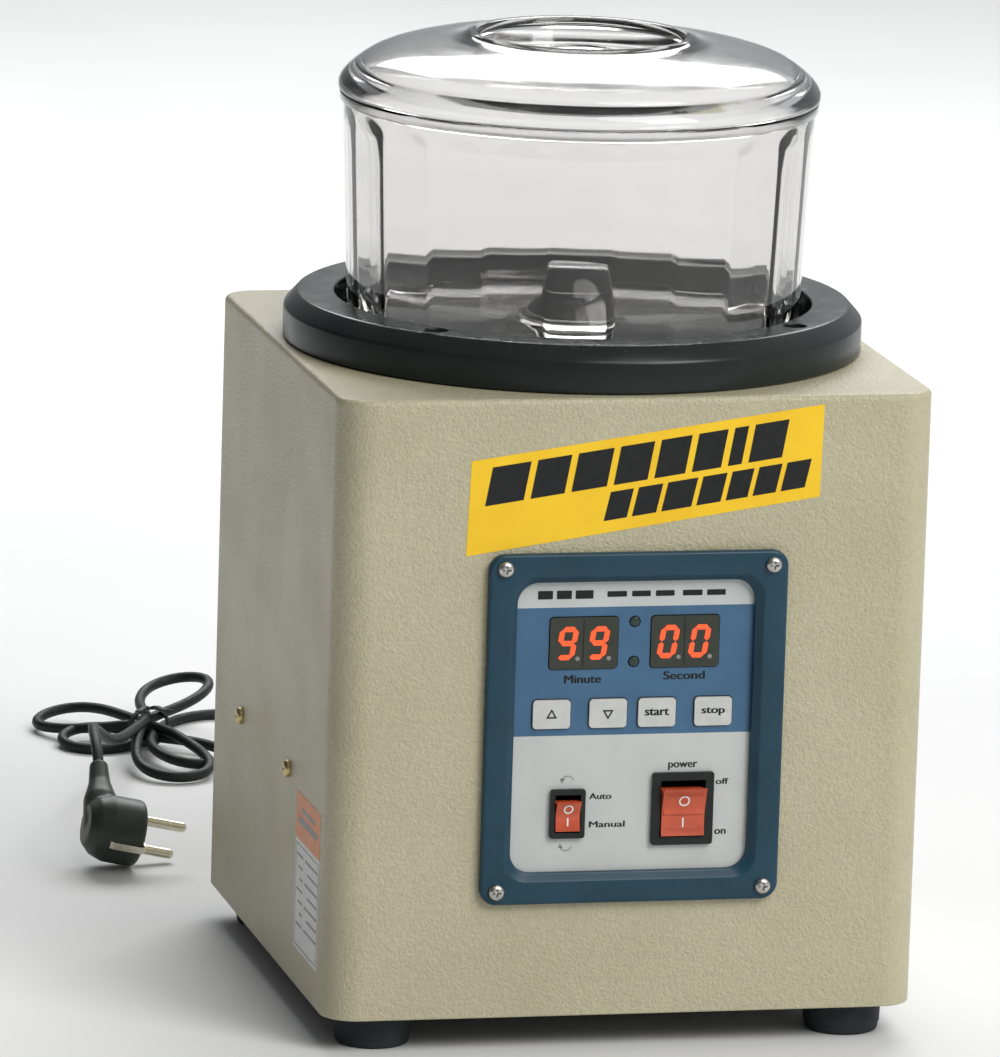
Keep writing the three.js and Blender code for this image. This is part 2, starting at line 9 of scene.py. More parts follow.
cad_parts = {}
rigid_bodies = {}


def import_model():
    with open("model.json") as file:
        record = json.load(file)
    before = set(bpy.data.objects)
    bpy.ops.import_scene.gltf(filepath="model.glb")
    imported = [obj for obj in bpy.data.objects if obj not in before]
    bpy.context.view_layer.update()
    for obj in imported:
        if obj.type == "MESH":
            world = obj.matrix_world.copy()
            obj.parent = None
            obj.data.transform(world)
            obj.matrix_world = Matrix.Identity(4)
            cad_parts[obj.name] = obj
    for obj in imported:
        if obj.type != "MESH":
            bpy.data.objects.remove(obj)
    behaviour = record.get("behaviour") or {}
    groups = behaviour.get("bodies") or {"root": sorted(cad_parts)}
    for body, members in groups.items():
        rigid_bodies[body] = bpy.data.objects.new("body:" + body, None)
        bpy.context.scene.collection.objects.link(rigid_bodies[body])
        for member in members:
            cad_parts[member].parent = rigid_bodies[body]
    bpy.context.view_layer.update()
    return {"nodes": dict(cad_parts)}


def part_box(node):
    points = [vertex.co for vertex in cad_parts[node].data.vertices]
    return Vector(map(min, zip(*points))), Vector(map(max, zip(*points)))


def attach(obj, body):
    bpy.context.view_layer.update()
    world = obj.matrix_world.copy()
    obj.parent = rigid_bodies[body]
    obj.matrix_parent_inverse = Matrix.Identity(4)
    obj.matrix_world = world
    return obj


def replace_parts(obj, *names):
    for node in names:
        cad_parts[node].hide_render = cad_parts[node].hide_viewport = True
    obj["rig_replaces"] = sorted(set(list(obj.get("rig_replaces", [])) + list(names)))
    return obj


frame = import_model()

# A magnetic pin tumbler: painted steel housing, black collar, clear bowl and lid, control panel
# and a mains lead. Lengths are in millimetres here and become metres in the meshes.
MM = 0.001
NODES = frame["nodes"]
MID_Y = 3.3  # the housing's middle
FRONT, BACK = -125.2, 131.8  # the housing's front and back walls
SIDE, TOP = 127.5, 278.5  # half its width, and its top
PANEL_Z = 139  # the control panel's middle
CORD_X, CORD_Z = 40, 40  # where the lead leaves the back wall


def linked(name, data):
    """A new object, placed in the scene."""
    obj = bpy.data.objects.new(name, data)
    bpy.context.scene.collection.objects.link(obj)
    return obj


# ---- camera ----
AZIMUTH, ELEVATION, ROLL = 13.421, 11.661, 1.773  # degrees
CAMERA_PLACE = (-0.9637, -3.9146, 1.0283)
FOCAL_LENGTH, SENSOR_WIDTH = 327.24, 36


def camera_axes(azimuth, elevation, roll):
    """The camera's right, up and back directions."""
    back = Vector((-sin(azimuth) * cos(elevation), -cos(azimuth) * cos(elevation), sin(elevation)))
    right = (-back).cross(Vector((0, 0, 1))).normalized()
    up = right.cross(-back)
    return right * cos(roll) + up * sin(roll), up * cos(roll) - right * sin(roll), back


lens = bpy.data.cameras.new("camera")
lens.lens, lens.sensor_width, lens.clip_end = FOCAL_LENGTH, SENSOR_WIDTH, 60
camera = linked("camera", lens)
axes = camera_axes(radians(AZIMUTH), radians(ELEVATION), radians(ROLL))
camera.matrix_world = Matrix.Translation(CAMERA_PLACE) @ Matrix(axes).transposed().to_4x4()
bpy.context.scene.camera = camera


# ---- materials ----
def add(tree, kind, **values):
    """A new node. Names with a capital are its sockets; the others are its properties."""
    node = tree.nodes.new(kind)
    for key, value in values.items():
        if key[0].isupper():
            node.inputs[key.replace("_", " ")].default_value = value
        else:
            setattr(node, key, value)
    return node


def noise(tree, size, detail=3.0, stretch=(1, 1, 1)):
    """Noise whose patches are about size millimetres across."""
    place = tree.nodes.get("place") or add(tree, "ShaderNodeTexCoord", name="place")
    scaled = add(tree, "ShaderNodeMapping", Scale=stretch)
    field = add(tree, "ShaderNodeTexNoise", Scale=1 / (size * MM), Detail=detail, Roughness=0.55)
    tree.links.new(place.outputs["Object"], scaled.inputs["Vector"])
    tree.links.new(scaled.outputs["Vector"], field.inputs["Vector"])
    return field.outputs["Fac"]


def ramp(tree, value, low, high, start=0.3, end=0.7):
    """Turns a value that runs from start to end into one that runs from low to high."""
    span = add(tree, "ShaderNodeMapRange", From_Min=start, From_Max=end, To_Min=low, To_Max=high)
    tree.links.new(value, span.inputs["Value"])
    return span.outputs["Result"]


def blend_colours(tree, value, first, second):
    """Mixes two colours, each a tuple or a socket."""
    mix = add(tree, "ShaderNodeMix", data_type="RGBA")
    for socket, colour in ((mix.inputs[6], first), (mix.inputs[7], second)):
        if isinstance(colour, tuple):
            socket.default_value = (*colour, 1)
        else:
            tree.links.new(colour, socket)
    tree.links.new(value, mix.inputs[0])
    return mix.outputs[2]


def surface(name, dark, light, patch=30, rough=(0.4, 0.5), grain=0.8, bump=0.1, stretch=(1, 1, 1),
            fine=0.25, **sockets):
    """A solid finish: two close colours in soft patches, uneven gloss and a fine grain."""
    material = bpy.data.materials.new(name)
    material.use_nodes = True
    tree = material.node_tree
    shader = tree.nodes["Principled BSDF"]
    wide = ramp(tree, noise(tree, patch, stretch=stretch), 0, 1)
    tight = ramp(tree, noise(tree, grain * 2, 2.0, stretch=stretch), 0, 1)
    base = blend_colours(tree, wide, dark, light)
    speck = tuple(c * (1 - fine) for c in dark)
    faint = add(tree, "ShaderNodeMath", operation="MULTIPLY")
    faint.inputs[1].default_value = fine
    tree.links.new(tight, faint.inputs[0])
    tree.links.new(blend_colours(tree, faint.outputs[0], base, speck), shader.inputs["Base Color"])
    tree.links.new(ramp(tree, noise(tree, patch * 0.6), *rough), shader.inputs["Roughness"])
    if bump:
        relief = add(tree, "ShaderNodeBump", Strength=min(1.0, bump * 2), Distance=grain * bump * MM)
        tree.links.new(noise(tree, grain, 2.0, stretch=stretch), relief.inputs["Height"])
        tree.links.new(relief.outputs["Normal"], shader.inputs["Normal"])
    for key, value in sockets.items():
        shader.inputs[key.replace("_", " ")].default_value = value
    return material


def clear_plastic(name, tint, haze):
    return surface(name, tint, tint, patch=40, rough=haze, grain=3, bump=0.02, fine=0.0,
                   Transmission_Weight=1.0, IOR=1.47)


paint = surface("housing_paint", (0.48, 0.442, 0.295), (0.535, 0.495, 0.34), 60, (0.32, 0.44), 1.3, 0.5, fine=0.3)
base_paint = surface("base_paint", (0.09, 0.085, 0.08), (0.13, 0.125, 0.115), 40, (0.5, 0.62), 1.0, 0.2)
rubber = surface("foot_rubber", (0.014, 0.022, 0.023), (0.024, 0.032, 0.033), 9, (0.55, 0.75), 0.5, 0.25,
                 Specular_IOR_Level=0.3)
plated = surface("plated_screw", (0.52, 0.51, 0.48), (0.66, 0.65, 0.62), 2.5, (0.2, 0.36), 0.3, 0.1, Metallic=1.0)
brassy = surface("zinc_screw", (0.52, 0.42, 0.20), (0.66, 0.56, 0.30), 2.5, (0.25, 0.42), 0.3, 0.12, Metallic=1.0)
collar_black = surface("collar_black", (0.010, 0.015, 0.014), (0.016, 0.022, 0.020), 30, (0.22, 0.32), 0.9, 0.08,
                       Specular_IOR_Level=0.3)
clear = clear_plastic("clear_acrylic", (0.855, 0.848, 0.838), (0.02, 0.05))
lid_clear = clear_plastic("clear_lid", (0.975, 0.972, 0.97), (0.04, 0.10))
bezel_blue = surface("bezel_blue", (0.008, 0.043, 0.072), (0.014, 0.058, 0.095), 25, (0.32, 0.44), 0.7, 0.12,
                     Specular_IOR_Level=0.35)
key_grey = surface("key_grey", (0.53, 0.54, 0.52), (0.60, 0.61, 0.59), 6, (0.38, 0.5), 0.4, 0.1, fine=0.05)
switch_black = surface("switch_black", (0.010, 0.013, 0.012), (0.017, 0.021, 0.020), 6, (0.3, 0.42), 0.4, 0.15,
                       Specular_IOR_Level=0.3)
rocker_red = surface("rocker_red", (0.48, 0.065, 0.022), (0.62, 0.095, 0.035), 9, (0.14, 0.24), 0.6, 0.04,
                     fine=0.08, Coat_Weight=0.4, Coat_Roughness=0.08, Subsurface_Weight=0.12,
                     Subsurface_Scale=0.002)
board_green = surface("circuit_board", (0.012, 0.085, 0.035), (0.02, 0.13, 0.055), 5, (0.3, 0.45), 0.9, 0.2)
bracket_steel = surface("bracket_steel", (0.42, 0.42, 0.41), (0.52, 0.52, 0.50), 14, (0.3, 0.48), 0.6, 0.1,
                        stretch=(0.15, 1, 1), Metallic=1.0)
alloy = surface("motor_alloy", (0.34, 0.35, 0.36), (0.46, 0.47, 0.48), 7, (0.42, 0.6), 0.8, 0.3, Metallic=0.85)
shaft_steel = surface("shaft_steel", (0.55, 0.55, 0.54), (0.66, 0.66, 0.65), 4, (0.14, 0.26), 0.3, 0.05,
                      stretch=(1, 1, 6), Metallic=1.0)
disc_alloy = surface("disc_aluminium", (0.60, 0.61, 0.62), (0.70, 0.71, 0.72), 12, (0.26, 0.4), 0.5, 0.08,
                     Metallic=1.0)
magnet_plate = surface("magnet_plate", (0.58, 0.59, 0.60), (0.70, 0.71, 0.72), 5, (0.12, 0.22), 0.4, 0.04,
                       Metallic=1.0)
core_steel = surface("transformer_core", (0.12, 0.11, 0.10), (0.20, 0.18, 0.16), 6, (0.45, 0.6), 0.5, 0.3,
                     stretch=(0.1, 1, 1), Metallic=0.5)
pin_plating = surface("pin_plating", (0.62, 0.58, 0.46), (0.78, 0.74, 0.62), 3, (0.14, 0.28), 0.3, 0.06,
                      Metallic=1.0)
plug_rubber = surface("plug_rubber", (0.020, 0.032, 0.023), (0.032, 0.046, 0.034), 7, (0.36, 0.5), 0.5, 0.2)
cord_sheath = surface("cord_sheath", (0.008, 0.012, 0.011), (0.014, 0.019, 0.017), 6, (0.42, 0.58), 0.4, 0.2,
                       Specular_IOR_Level=0.3)
tie_black = surface("tie_black", (0.02, 0.02, 0.02), (0.05, 0.05, 0.048), 2, (0.4, 0.55), 0.3, 0.2)
print_black = surface("print_black", (0.008, 0.009, 0.010), (0.015, 0.016, 0.017), 4, (0.4, 0.55), 0.3, 0.05,
                      Specular_IOR_Level=0.3)
print_white = surface("print_white", (0.80, 0.81, 0.79), (0.88, 0.88, 0.86), 4, (0.4, 0.55), 0.3, 0.05, fine=0.05)
label_yellow = surface("label_yellow", (0.90, 0.55, 0.006), (0.97, 0.62, 0.014), 22, (0.3, 0.42), 0.5, 0.04,
                       fine=0.05)
label_orange = surface("label_orange", (0.72, 0.27, 0.11), (0.80, 0.32, 0.14), 10, (0.4, 0.5), 0.4, 0.05, fine=0.05)
label_white = surface("label_white", (0.70, 0.70, 0.68), (0.77, 0.77, 0.75), 10, (0.4, 0.5), 0.4, 0.05, fine=0.04)
label_grey = surface("label_grey", (0.22, 0.22, 0.22), (0.32, 0.32, 0.31), 5, (0.4, 0.5), 0.4, 0.05)
floor_pale = surface("floor_pale", (0.77, 0.775, 0.775), (0.80, 0.805, 0.805), 300, (0.6, 0.75), 4, 0.03, fine=0.02)


def lit_material(name, colour, strength, bead):
    """A lit display segment, brighter in beads along its length."""
    material = surface(name, colour, tuple(min(1, c * 1.3) for c in colour), 2, (0.3, 0.4), 0.4, 0.0)
    tree = material.node_tree
    shader = tree.nodes["Principled BSDF"]
    shader.inputs["Emission Color"].default_value = (*colour, 1)
    cells = add(tree, "ShaderNodeTexVoronoi", Scale=1 / (bead * MM), Randomness=0.15)
    tree.links.new(tree.nodes["place"].outputs["Object"], cells.inputs["Vector"])
    glow = ramp(tree, cells.outputs["Distance"], strength, strength * 0.45, 0.1, 0.65)
    tree.links.new(glow, shader.inputs["Emission Strength"])
    return material


BLUE_BAND_Z, HEADER_Z = 135.1, 189.8  # where the panel's blue band and its white header begin


def panel_material():
    """The printed face: white header, blue band, grey-white below, with a soft worn grain."""
    material = surface("panel_overlay", (0.5, 0.5, 0.5), (0.6, 0.6, 0.6), 18, (0.34, 0.46), 0.5, 0.1)
    tree = material.node_tree
    shader = tree.nodes["Principled BSDF"]
    parts = add(tree, "ShaderNodeSeparateXYZ")
    tree.links.new(tree.nodes["place"].outputs["Object"], parts.inputs["Vector"])
    patches = ramp(tree, noise(tree, 24), 0, 1)
    colour = blend_colours(tree, patches, (0.515, 0.54, 0.52), (0.565, 0.59, 0.57))
    blue = blend_colours(tree, patches, (0.040, 0.115, 0.215), (0.052, 0.14, 0.255))
    white = blend_colours(tree, patches, (0.50, 0.535, 0.53), (0.55, 0.585, 0.58))
    for level, over in ((BLUE_BAND_Z, blue), (HEADER_Z, white)):
        above = add(tree, "ShaderNodeMath", operation="GREATER_THAN")
        above.inputs[1].default_value = level * MM
        tree.links.new(parts.outputs["Z"], above.inputs[0])
        colour = blend_colours(tree, above.outputs[0], colour, over)
    tree.links.new(colour, shader.inputs["Base Color"])
    return material


segment_red = lit_material("segment_lit", (0.85, 0.085, 0.02), 0.85, 0.9)
panel_overlay = panel_material()
window_dark = surface("display_window", (0.016, 0.021, 0.012), (0.028, 0.034, 0.020), 9, (0.24, 0.36), 0.6, 0.05,
                      Coat_Weight=0.15, Coat_Roughness=0.12)
lamp_dark = surface("lamp_dark", (0.012, 0.030, 0.026), (0.022, 0.045, 0.038), 3, (0.2, 0.3), 0.4, 0.1)


# ---- mesh helpers ----
def placed(obj, body, finish, replaces=(), sharp=32):
    """Finishes a new piece and says its body and the CAD nodes it stands for."""
    obj.data.materials.clear()
    obj.data.materials.append(finish)
    if isinstance(obj.data, bpy.types.Mesh):
        obj.data.shade_smooth()
        obj.data.set_sharp_from_angle(angle=radians(sharp))
    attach(obj, body)
    if replaces:
        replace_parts(obj, *replaces)
    return obj


def solid(name, verts, faces):
    mesh = bpy.data.meshes.new(name)
    mesh.from_pydata([tuple(c * MM for c in v) for v in verts], [], faces)
    work = bmesh.new()
    work.from_mesh(mesh)
    bmesh.ops.remove_doubles(work, verts=work.verts, dist=1e-7)
    bmesh.ops.recalc_face_normals(work, faces=work.faces)
    work.to_mesh(mesh)
    work.free()
    mesh.validate()
    return linked(name, mesh)


def merged(name, parts):
    """One mesh from several (vertices, faces) pairs."""
    verts, faces = [], []
    for part_verts, part_faces in parts:
        start = len(verts)
        verts += part_verts
        faces += [[i + start for i in face] for face in part_faces]
    return solid(name, verts, faces)


def apply_modifiers(obj):
    evaluated = obj.evaluated_get(bpy.context.evaluated_depsgraph_get())
    mesh = bpy.data.meshes.new_from_object(evaluated)
    obj.modifiers.clear()
    obj.data = mesh
    return obj


def combine(obj, others, operation="DIFFERENCE"):
    bpy.context.view_layer.update()
    for other in others:
        step = obj.modifiers.new("combine", "BOOLEAN")
        step.object, step.operation, step.solver = other, operation, "EXACT"
    apply_modifiers(obj)
    for other in others:
        bpy.data.objects.remove(other)
    return obj


def softened(obj, width):
    """Rounds the edges of a carried-over CAD node without moving its own vertices."""
    if any(m.type == "BEVEL" for m in obj.modifiers):
        return obj
    obj.modifiers.new("weld", "WELD").merge_threshold = 1e-5
    edge = obj.modifiers.new("bevel", "BEVEL")
    edge.width, edge.segments, edge.angle_limit = width * MM, 2, radians(30)
    edge.limit_method, edge.harden_normals, edge.use_clamp_overlap = "ANGLE", False, True
    return obj


def loft(loops, ring=False):
    """Skins closed loops with the same number of points; ring joins the last loop to the first."""
    count = len(loops[0])
    verts = [p for loop in loops for p in loop]
    faces = []
    pairs = len(loops) if ring else len(loops) - 1
    for a in range(pairs):
        b = (a + 1) % len(loops)
        for i in range(count):
            j = (i + 1) % count
            faces.append([a * count + i, a * count + j, b * count + j, b * count + i])
    if not ring:
        faces.append(list(range(count))[::-1])
        faces.append([(len(loops) - 1) * count + i for i in range(count)])
    return verts, faces


def rounded(width, height, radius, arc=8, hold=0.4):
    """A rounded rectangle's corners as [u, v], with holding points that keep the flats flat."""
    points = []
    for quarter in range(4):
        turn = quarter * pi / 2
        cu = (width / 2 - radius) * (1 if quarter in (0, 3) else -1)
        cv = (height / 2 - radius) * (1 if quarter in (0, 1) else -1)
        along = (sin(turn), -cos(turn))
        points.append((cu + radius * cos(turn) + along[0] * hold, cv + radius * sin(turn) + along[1] * hold))
        for k in range(arc + 1):
            a = turn + k * pi / 2 / arc
            points.append((cu + radius * cos(a), cv + radius * sin(a)))
        a = turn + pi / 2
        points.append((cu + radius * cos(a) - sin(a) * hold, cv + radius * sin(a) + cos(a) * hold))
    return points


def frame_of(axis):
    """Two directions square to an axis, and the axis itself."""
    axis = Vector(axis).normalized()
    side = axis.cross(Vector((0, 0, 1)) if abs(axis.z) < 0.9 else Vector((1, 0, 0))).normalized()
    return side, axis.cross(side), axis


def turned(profile, origin=(0, 0, 0), axis=(0, 0, 1), segments=64, radius_at=None):
    """A profile of [radius, height] turned about an axis; radius 0 at either end closes it."""
    side, other, along = frame_of(axis)
    origin = Vector(origin)
    verts, faces, rows = [], [], []
    for radius, height in profile:
        if radius == 0:
            rows.append([len(verts)])
            verts.append(tuple(origin + along * height))
            continue
        row = []
        for k in range(segments):
            a = 2 * pi * k / segments
            r = radius_at(radius, height, a) if radius_at else radius
            row.append(len(verts))
            verts.append(tuple(origin + side * (r * cos(a)) + other * (r * sin(a)) + along * height))
        rows.append(row)
    for low, high in zip(rows, rows[1:]):
        for k in range(segments):
            j = (k + 1) % segments
            if len(low) == 1 and len(high) == 1:
                continue
            if len(low) == 1:
                faces.append([low[0], high[j], high[k]])
            elif len(high) == 1:
                faces.append([low[k], low[j], high[0]])
            else:
                faces.append([low[k], low[j], high[j], high[k]])
    return verts, faces


def block(x0, x1, y0, y1, z0, z1):
    verts = [(x, y, z) for z in (z0, z1) for x, y in ((x0, y0), (x1, y0), (x1, y1), (x0, y1))]
    return verts, [[3, 2, 1, 0], [4, 5, 6, 7], [0, 1, 5, 4], [1, 2, 6, 5], [2, 3, 7, 6], [3, 0, 4, 7]]


def prism(outline, place, depth):
    """An outline of [u, v] given depth; place(u, v, d) gives the point."""
    return loft([[place(u, v, 0) for u, v in outline], [place(u, v, depth) for u, v in outline]])


def arc_points(cu, cv, radius, start, end, steps):
    angles = [start + (end - start) * k / steps for k in range(steps + 1)]
    return [(cu + radius * cos(a), cv + radius * sin(a)) for a in angles]


# ---- the mains lead ----
CORD_RADIUS = 2.5
TIE = (-91.0, 445.0)
LEAD = [(40, 162.8, 40), (40, 174, 39), (40, 190, 34.5), (39.5, 207, 26), (39, 224, 15), (38, 240, 7),
        (36, 257, 3.2), (32, 280, 2.6), (26, 310, 2.6), (19, 342, 2.6), (13, 375, 2.6), (8, 405, 2.6),
        (1, 435, 2.6), (-9, 464, 2.6), (-24, 487, 2.6), (-43, 498, 2.6), (-61, 494, 2.6), (-76, 478, 2.6),
        (-85, 462, 2.6)]
TAIL = [(-100, 425, 14.5), (-109, 405, 15.5), (-117.5, 383, 18.5), (-125.5, 361, 23.5), (-133.5, 338, 30.5),
        (-140.5, 316, 38), (-146.5, 295, 44.5), (-150.5, 276, 48.8), (-153, 259, 49), (-154.2, 246, 45),
        (-154.84, 238.86, 40.24)]
# Each loop of the hank: its far end (x, y, z), half width, how far one side sinks, and its turning sense.
LOOPS = [(-133, 446, 3.5, 16, -0.13, -1), (-70, 388, 4, 16.5, 0.0, -1), (-134, 491, 5.5, 16, -0.16, 1),
         (-90, 366, 3, 17, 0.0, -1), (-62, 500, 21.0, 16, -0.15, 1)]
LAYERS = [2.6, 5.4, 8.2, 10.6, 13.2, 14.6]  # height of the crossing under the tie, loop by loop
CROSSINGS = [(-2, 2), (2, -4), (3, 2), (-3, 0), (2, 3)]  # how far from the tie's middle each pass lies
NECK_ALONG, NECK_WIDE = 0.42, 0.62  # shares of a loop's length and half width where its sides draw in
ROUTE_STEP, ROUTE_SMOOTHING = 3.0, 6  # millimetres between points, and rounds of smoothing


def loop_points(number):
    """Seven points round one loop, out from the tie and back."""
    x, y, top, half, sink, sense = LOOPS[number]
    low, high = LAYERS[number], LAYERS[number + 1]
    reach = hypot(x - TIE[0], y - TIE[1])
    ax, ay = (x - TIE[0]) / reach, (y - TIE[1]) / reach
    round_centre = reach - half
    diagonal = half * sqrt(0.5)
    outline = [(NECK_ALONG * round_centre, -NECK_WIDE * half), (round_centre, -half),
               (round_centre + diagonal, -diagonal), (reach, 0), (round_centre + diagonal, diagonal),
               (round_centre, half), (NECK_ALONG * round_centre, NECK_WIDE * half)]
    points = []
    for step, (u, v) in enumerate(outline):
        v *= sense
        level = low + (high - low) * (step + 1) / 8
        share = min(1, u / reach) ** 1.5
        z = max(CORD_RADIUS + 0.1, level + (top - level) * share + v * sink)
        points.append((TIE[0] + ax * u - ay * v, TIE[1] + ay * u + ax * v, z))
    return points


def natural_spline(points, step):
    """A smooth curve through the points, sampled at about equal distances."""
    knots = [0.0]
    for a, b in zip(points, points[1:]):
        knots.append(knots[-1] + (b - a).length ** 0.8)
    n = len(points)
    gaps = [b - a for a, b in zip(knots, knots[1:])]
    # Thomas algorithm for the second derivatives, which are zero at both ends.
    upper, value = [0.0] * n, [Vector((0, 0, 0))] * n
    for i in range(1, n - 1):
        slope = (points[i + 1] - points[i]) / gaps[i] - (points[i] - points[i - 1]) / gaps[i - 1]
        pivot = 2 * (gaps[i - 1] + gaps[i]) - gaps[i - 1] * upper[i - 1]
        upper[i] = gaps[i] / pivot
        value[i] = (6 * slope - gaps[i - 1] * value[i - 1]) / pivot
    bends = [Vector((0, 0, 0))] * n
    for i in range(n - 2, 0, -1):
        bends[i] = value[i] - upper[i] * bends[i + 1]
    dense = []
    for i in range(n - 1):
        for k in range(40):
            b = k / 40
            a = 1 - b
            dense.append(a * points[i] + b * points[i + 1]
                         + ((a ** 3 - a) * bends[i] + (b ** 3 - b) * bends[i + 1]) * gaps[i] ** 2 / 6)
    dense.append(points[-1])
    line, since = [dense[0]], 0.0
    for a, b in zip(dense, dense[1:]):
        since += (b - a).length
        if since >= step:
            line.append(b)
            since = 0.0
    if (line[-1] - dense[-1]).length < step / 2:
        line.pop()
    return line + [dense[-1]]


def lead_line():
    """The cord's centre line, from the back wall through the hank to the plug."""
    points = list(LEAD)
    for number, (dx, dy) in enumerate(CROSSINGS):
        points.append((TIE[0] + dx, TIE[1] + dy, LAYERS[number]))
        points += loop_points(number)
    points.append((TIE[0] - 1, TIE[1] + 1, LAYERS[-1]))
    points += TAIL
    line = natural_spline([Vector((x, y + MID_Y, z)) for x, y, z in points], ROUTE_STEP)
    for _ in range(ROUTE_SMOOTHING):
        line = [line[0]] + [(a + 2 * b + c) / 4 for a, b, c in zip(line, line[1:], line[2:])] + [line[-1]]
    return [Vector((p.x, p.y, max(p.z, CORD_RADIUS + 0.05))) for p in line]


centreline = lead_line()
curve = bpy.data.curves.new("mains_cord", "CURVE")
curve.dimensions, curve.bevel_depth, curve.bevel_resolution = "3D", CORD_RADIUS * MM, 4
curve.use_fill_caps = True
spline = curve.splines.new("POLY")
spline.points.add(len(centreline) - 1)
for point, place in zip(spline.points, centreline):
    point.co = (*(place * MM), 1)
spline.use_smooth = True
mains_cord = linked("mains_cord", curve)
placed(mains_cord, "housing", cord_sheath, ["cord_tube", "cord_hank", "cord_lead"])

# The moulded plug: a round body with a finger neck, pins forward and an earth strip on its side.
PLUG_CENTRE = Vector((-153.8, 209.2 + MID_Y, 17.6))
PLUG_AXIS = Vector((0.9775, 0.0256, -0.2092)).normalized()
ENTRY_AXIS = Vector((0.1039, 0.8049, 0.5842)).normalized()
PIN_LINE = PLUG_AXIS.cross(ENTRY_AXIS).normalized()
PLUG_LENGTH = 25
shell_profile = [[0, 0], [9, 0], [13, 4], [15.2, 10], [15.2, 23.4], [14.2, PLUG_LENGTH], [0, PLUG_LENGTH]]
neck_profile = [[0, 0], [8.4, 0], [7.7, 16], [6.0, 22], [5.0, 26], [4.2, 37], [0, 37]]
shell = merged("plug_shell", [turned(shell_profile, PLUG_CENTRE - PLUG_AXIS * (PLUG_LENGTH / 2), PLUG_AXIS, 48)])
neck = merged("plug_neck", [turned(neck_profile, PLUG_CENTRE - PLUG_AXIS * 5, ENTRY_AXIS, 36)])
plug = combine(shell, [neck], "UNION")
remesh = plug.modifiers.new("remesh", "REMESH")
remesh.mode, remesh.voxel_size = "VOXEL", 0.55 * MM
smooth = plug.modifiers.new("smooth", "SMOOTH")
smooth.factor, smooth.iterations = 0.6, 9
apply_modifiers(plug)
placed(plug, "housing", plug_rubber, ["plug_body"], sharp=70)


def strip_bar(out_axis):
    """A bent sheet strip along the plug's flank, up over the rim to the pin face."""
    side = PLUG_AXIS.cross(out_axis).normalized()
    path = [(-3.0, 14.7), (-1.5, 15.55), (12.0, 15.55), (13.0, 14.9), (13.0, 11.0)]
    wide = 1.7
    loops = []
    for along, out in path:
        base = PLUG_CENTRE + PLUG_AXIS * along + out_axis * out
        thick = out_axis * 0.35 if along < 12.5 else PLUG_AXIS * 0.35
        loops.append([tuple(base + side * s + thick * t)
                      for s, t in ((-wide, -1), (wide, -1), (wide, 1), (-wide, 1))])
    return loft(loops)


STRIP_TURN = radians(20)
strip_way = (PIN_LINE * sin(STRIP_TURN) - ENTRY_AXIS * cos(STRIP_TURN)).normalized()
earth = merged("plug_earth_strips", [strip_bar(strip_way), strip_bar(-strip_way)])
placed(earth, "housing", pin_plating, sharp=50)

# The tie: a flat band over and under the crossing, with its twisted ends beside it.
tie_angle = radians(18)
TIE_REACH, TIE_RISE, TIE_MIDDLE = 10.5, 9.0, 9.4  # half width, half height and the middle's height
TIE_HALF_WIDTH, TIE_HALF_SHEET = 1.5, 0.45
band = []
for k in range(28):
    a = 2 * pi * k / 28
    out, z = TIE_REACH * cos(a), TIE_MIDDLE + TIE_RISE * sin(a)
    u, v = cos(tie_angle), sin(tie_angle)
    inward = (cos(a) * TIE_HALF_SHEET, sin(a) * TIE_HALF_SHEET)
    loop = []
    for w, d in ((-TIE_HALF_WIDTH, -1), (TIE_HALF_WIDTH, -1), (TIE_HALF_WIDTH, 1), (-TIE_HALF_WIDTH, 1)):
        r, h = out + inward[0] * d, max(0.05, z + inward[1] * d)
        loop.append((TIE[0] + u * r - v * w, TIE[1] + MID_Y + v * r + u * w, h))
    band.append(loop)
tails = []
for sign in (-1, 1):
    path = [(TIE[0] + 4 * sign * 0.3, TIE[1] + MID_Y, 18.6), (TIE[0] + 2.5 * sign, TIE[1] - 4 + MID_Y, 20.2),
            (TIE[0] + 6 * sign, TIE[1] - 9 + MID_Y, 19.4), (TIE[0] + 8.5 * sign, TIE[1] - 15 + MID_Y, 20.6)]
    tails.append(loft([[(x - 1.2, y, z - 0.35), (x + 1.2, y, z - 0.35), (x + 1.2, y, z + 0.35),
                        (x - 1.2, y, z + 0.35)] for x, y, z in path]))
tie = merged("hank_tie", [loft(band, ring=True)] + tails)
placed(tie, "housing", tie_black)

# Strain relief: a flange on the back wall, then a ribbed taper round the lead.
relief = [[0, 0.1], [9.5, 0.1], [9.5, 2.2], [8.7, 3.0], [6.6, 3.0]]
for k in range(8):
    at = 5 + k * 3.4
    r = 6.2 - 2.6 * k / 8
    relief += [[r, at], [r, at + 1.9], [r - 0.8, at + 2.1], [r - 0.8, at + 3.2]]
relief += [[3.5, 32.6], [3.5, 33.6], [3.1, 33.95], [0, 33.95]]
placed(merged("lead_relief", [turned(relief, (CORD_X, BACK, CORD_Z), (0, 1, 0), 40)]), "housing", plug_rubber,
       ["strain_relief"])


# ---- housing ----
TOP_OPENING = 104  # radius of the hole under the bowl
VENT_ROWS = (171, 181, 191, 201, 211, 221)
SIDE_SCREWS_Y, SIDE_SCREWS_Z = (-43.2, 56.9), 104
BOTTOM, EDGE = 15.4, 2.2  # the shell's lower edge, and the radius of its top edge


def through(radius):
    """The profile of a round cutter that passes through a sheet."""
    return [[0, -4], [radius, -4], [radius, 4], [0, 4]]


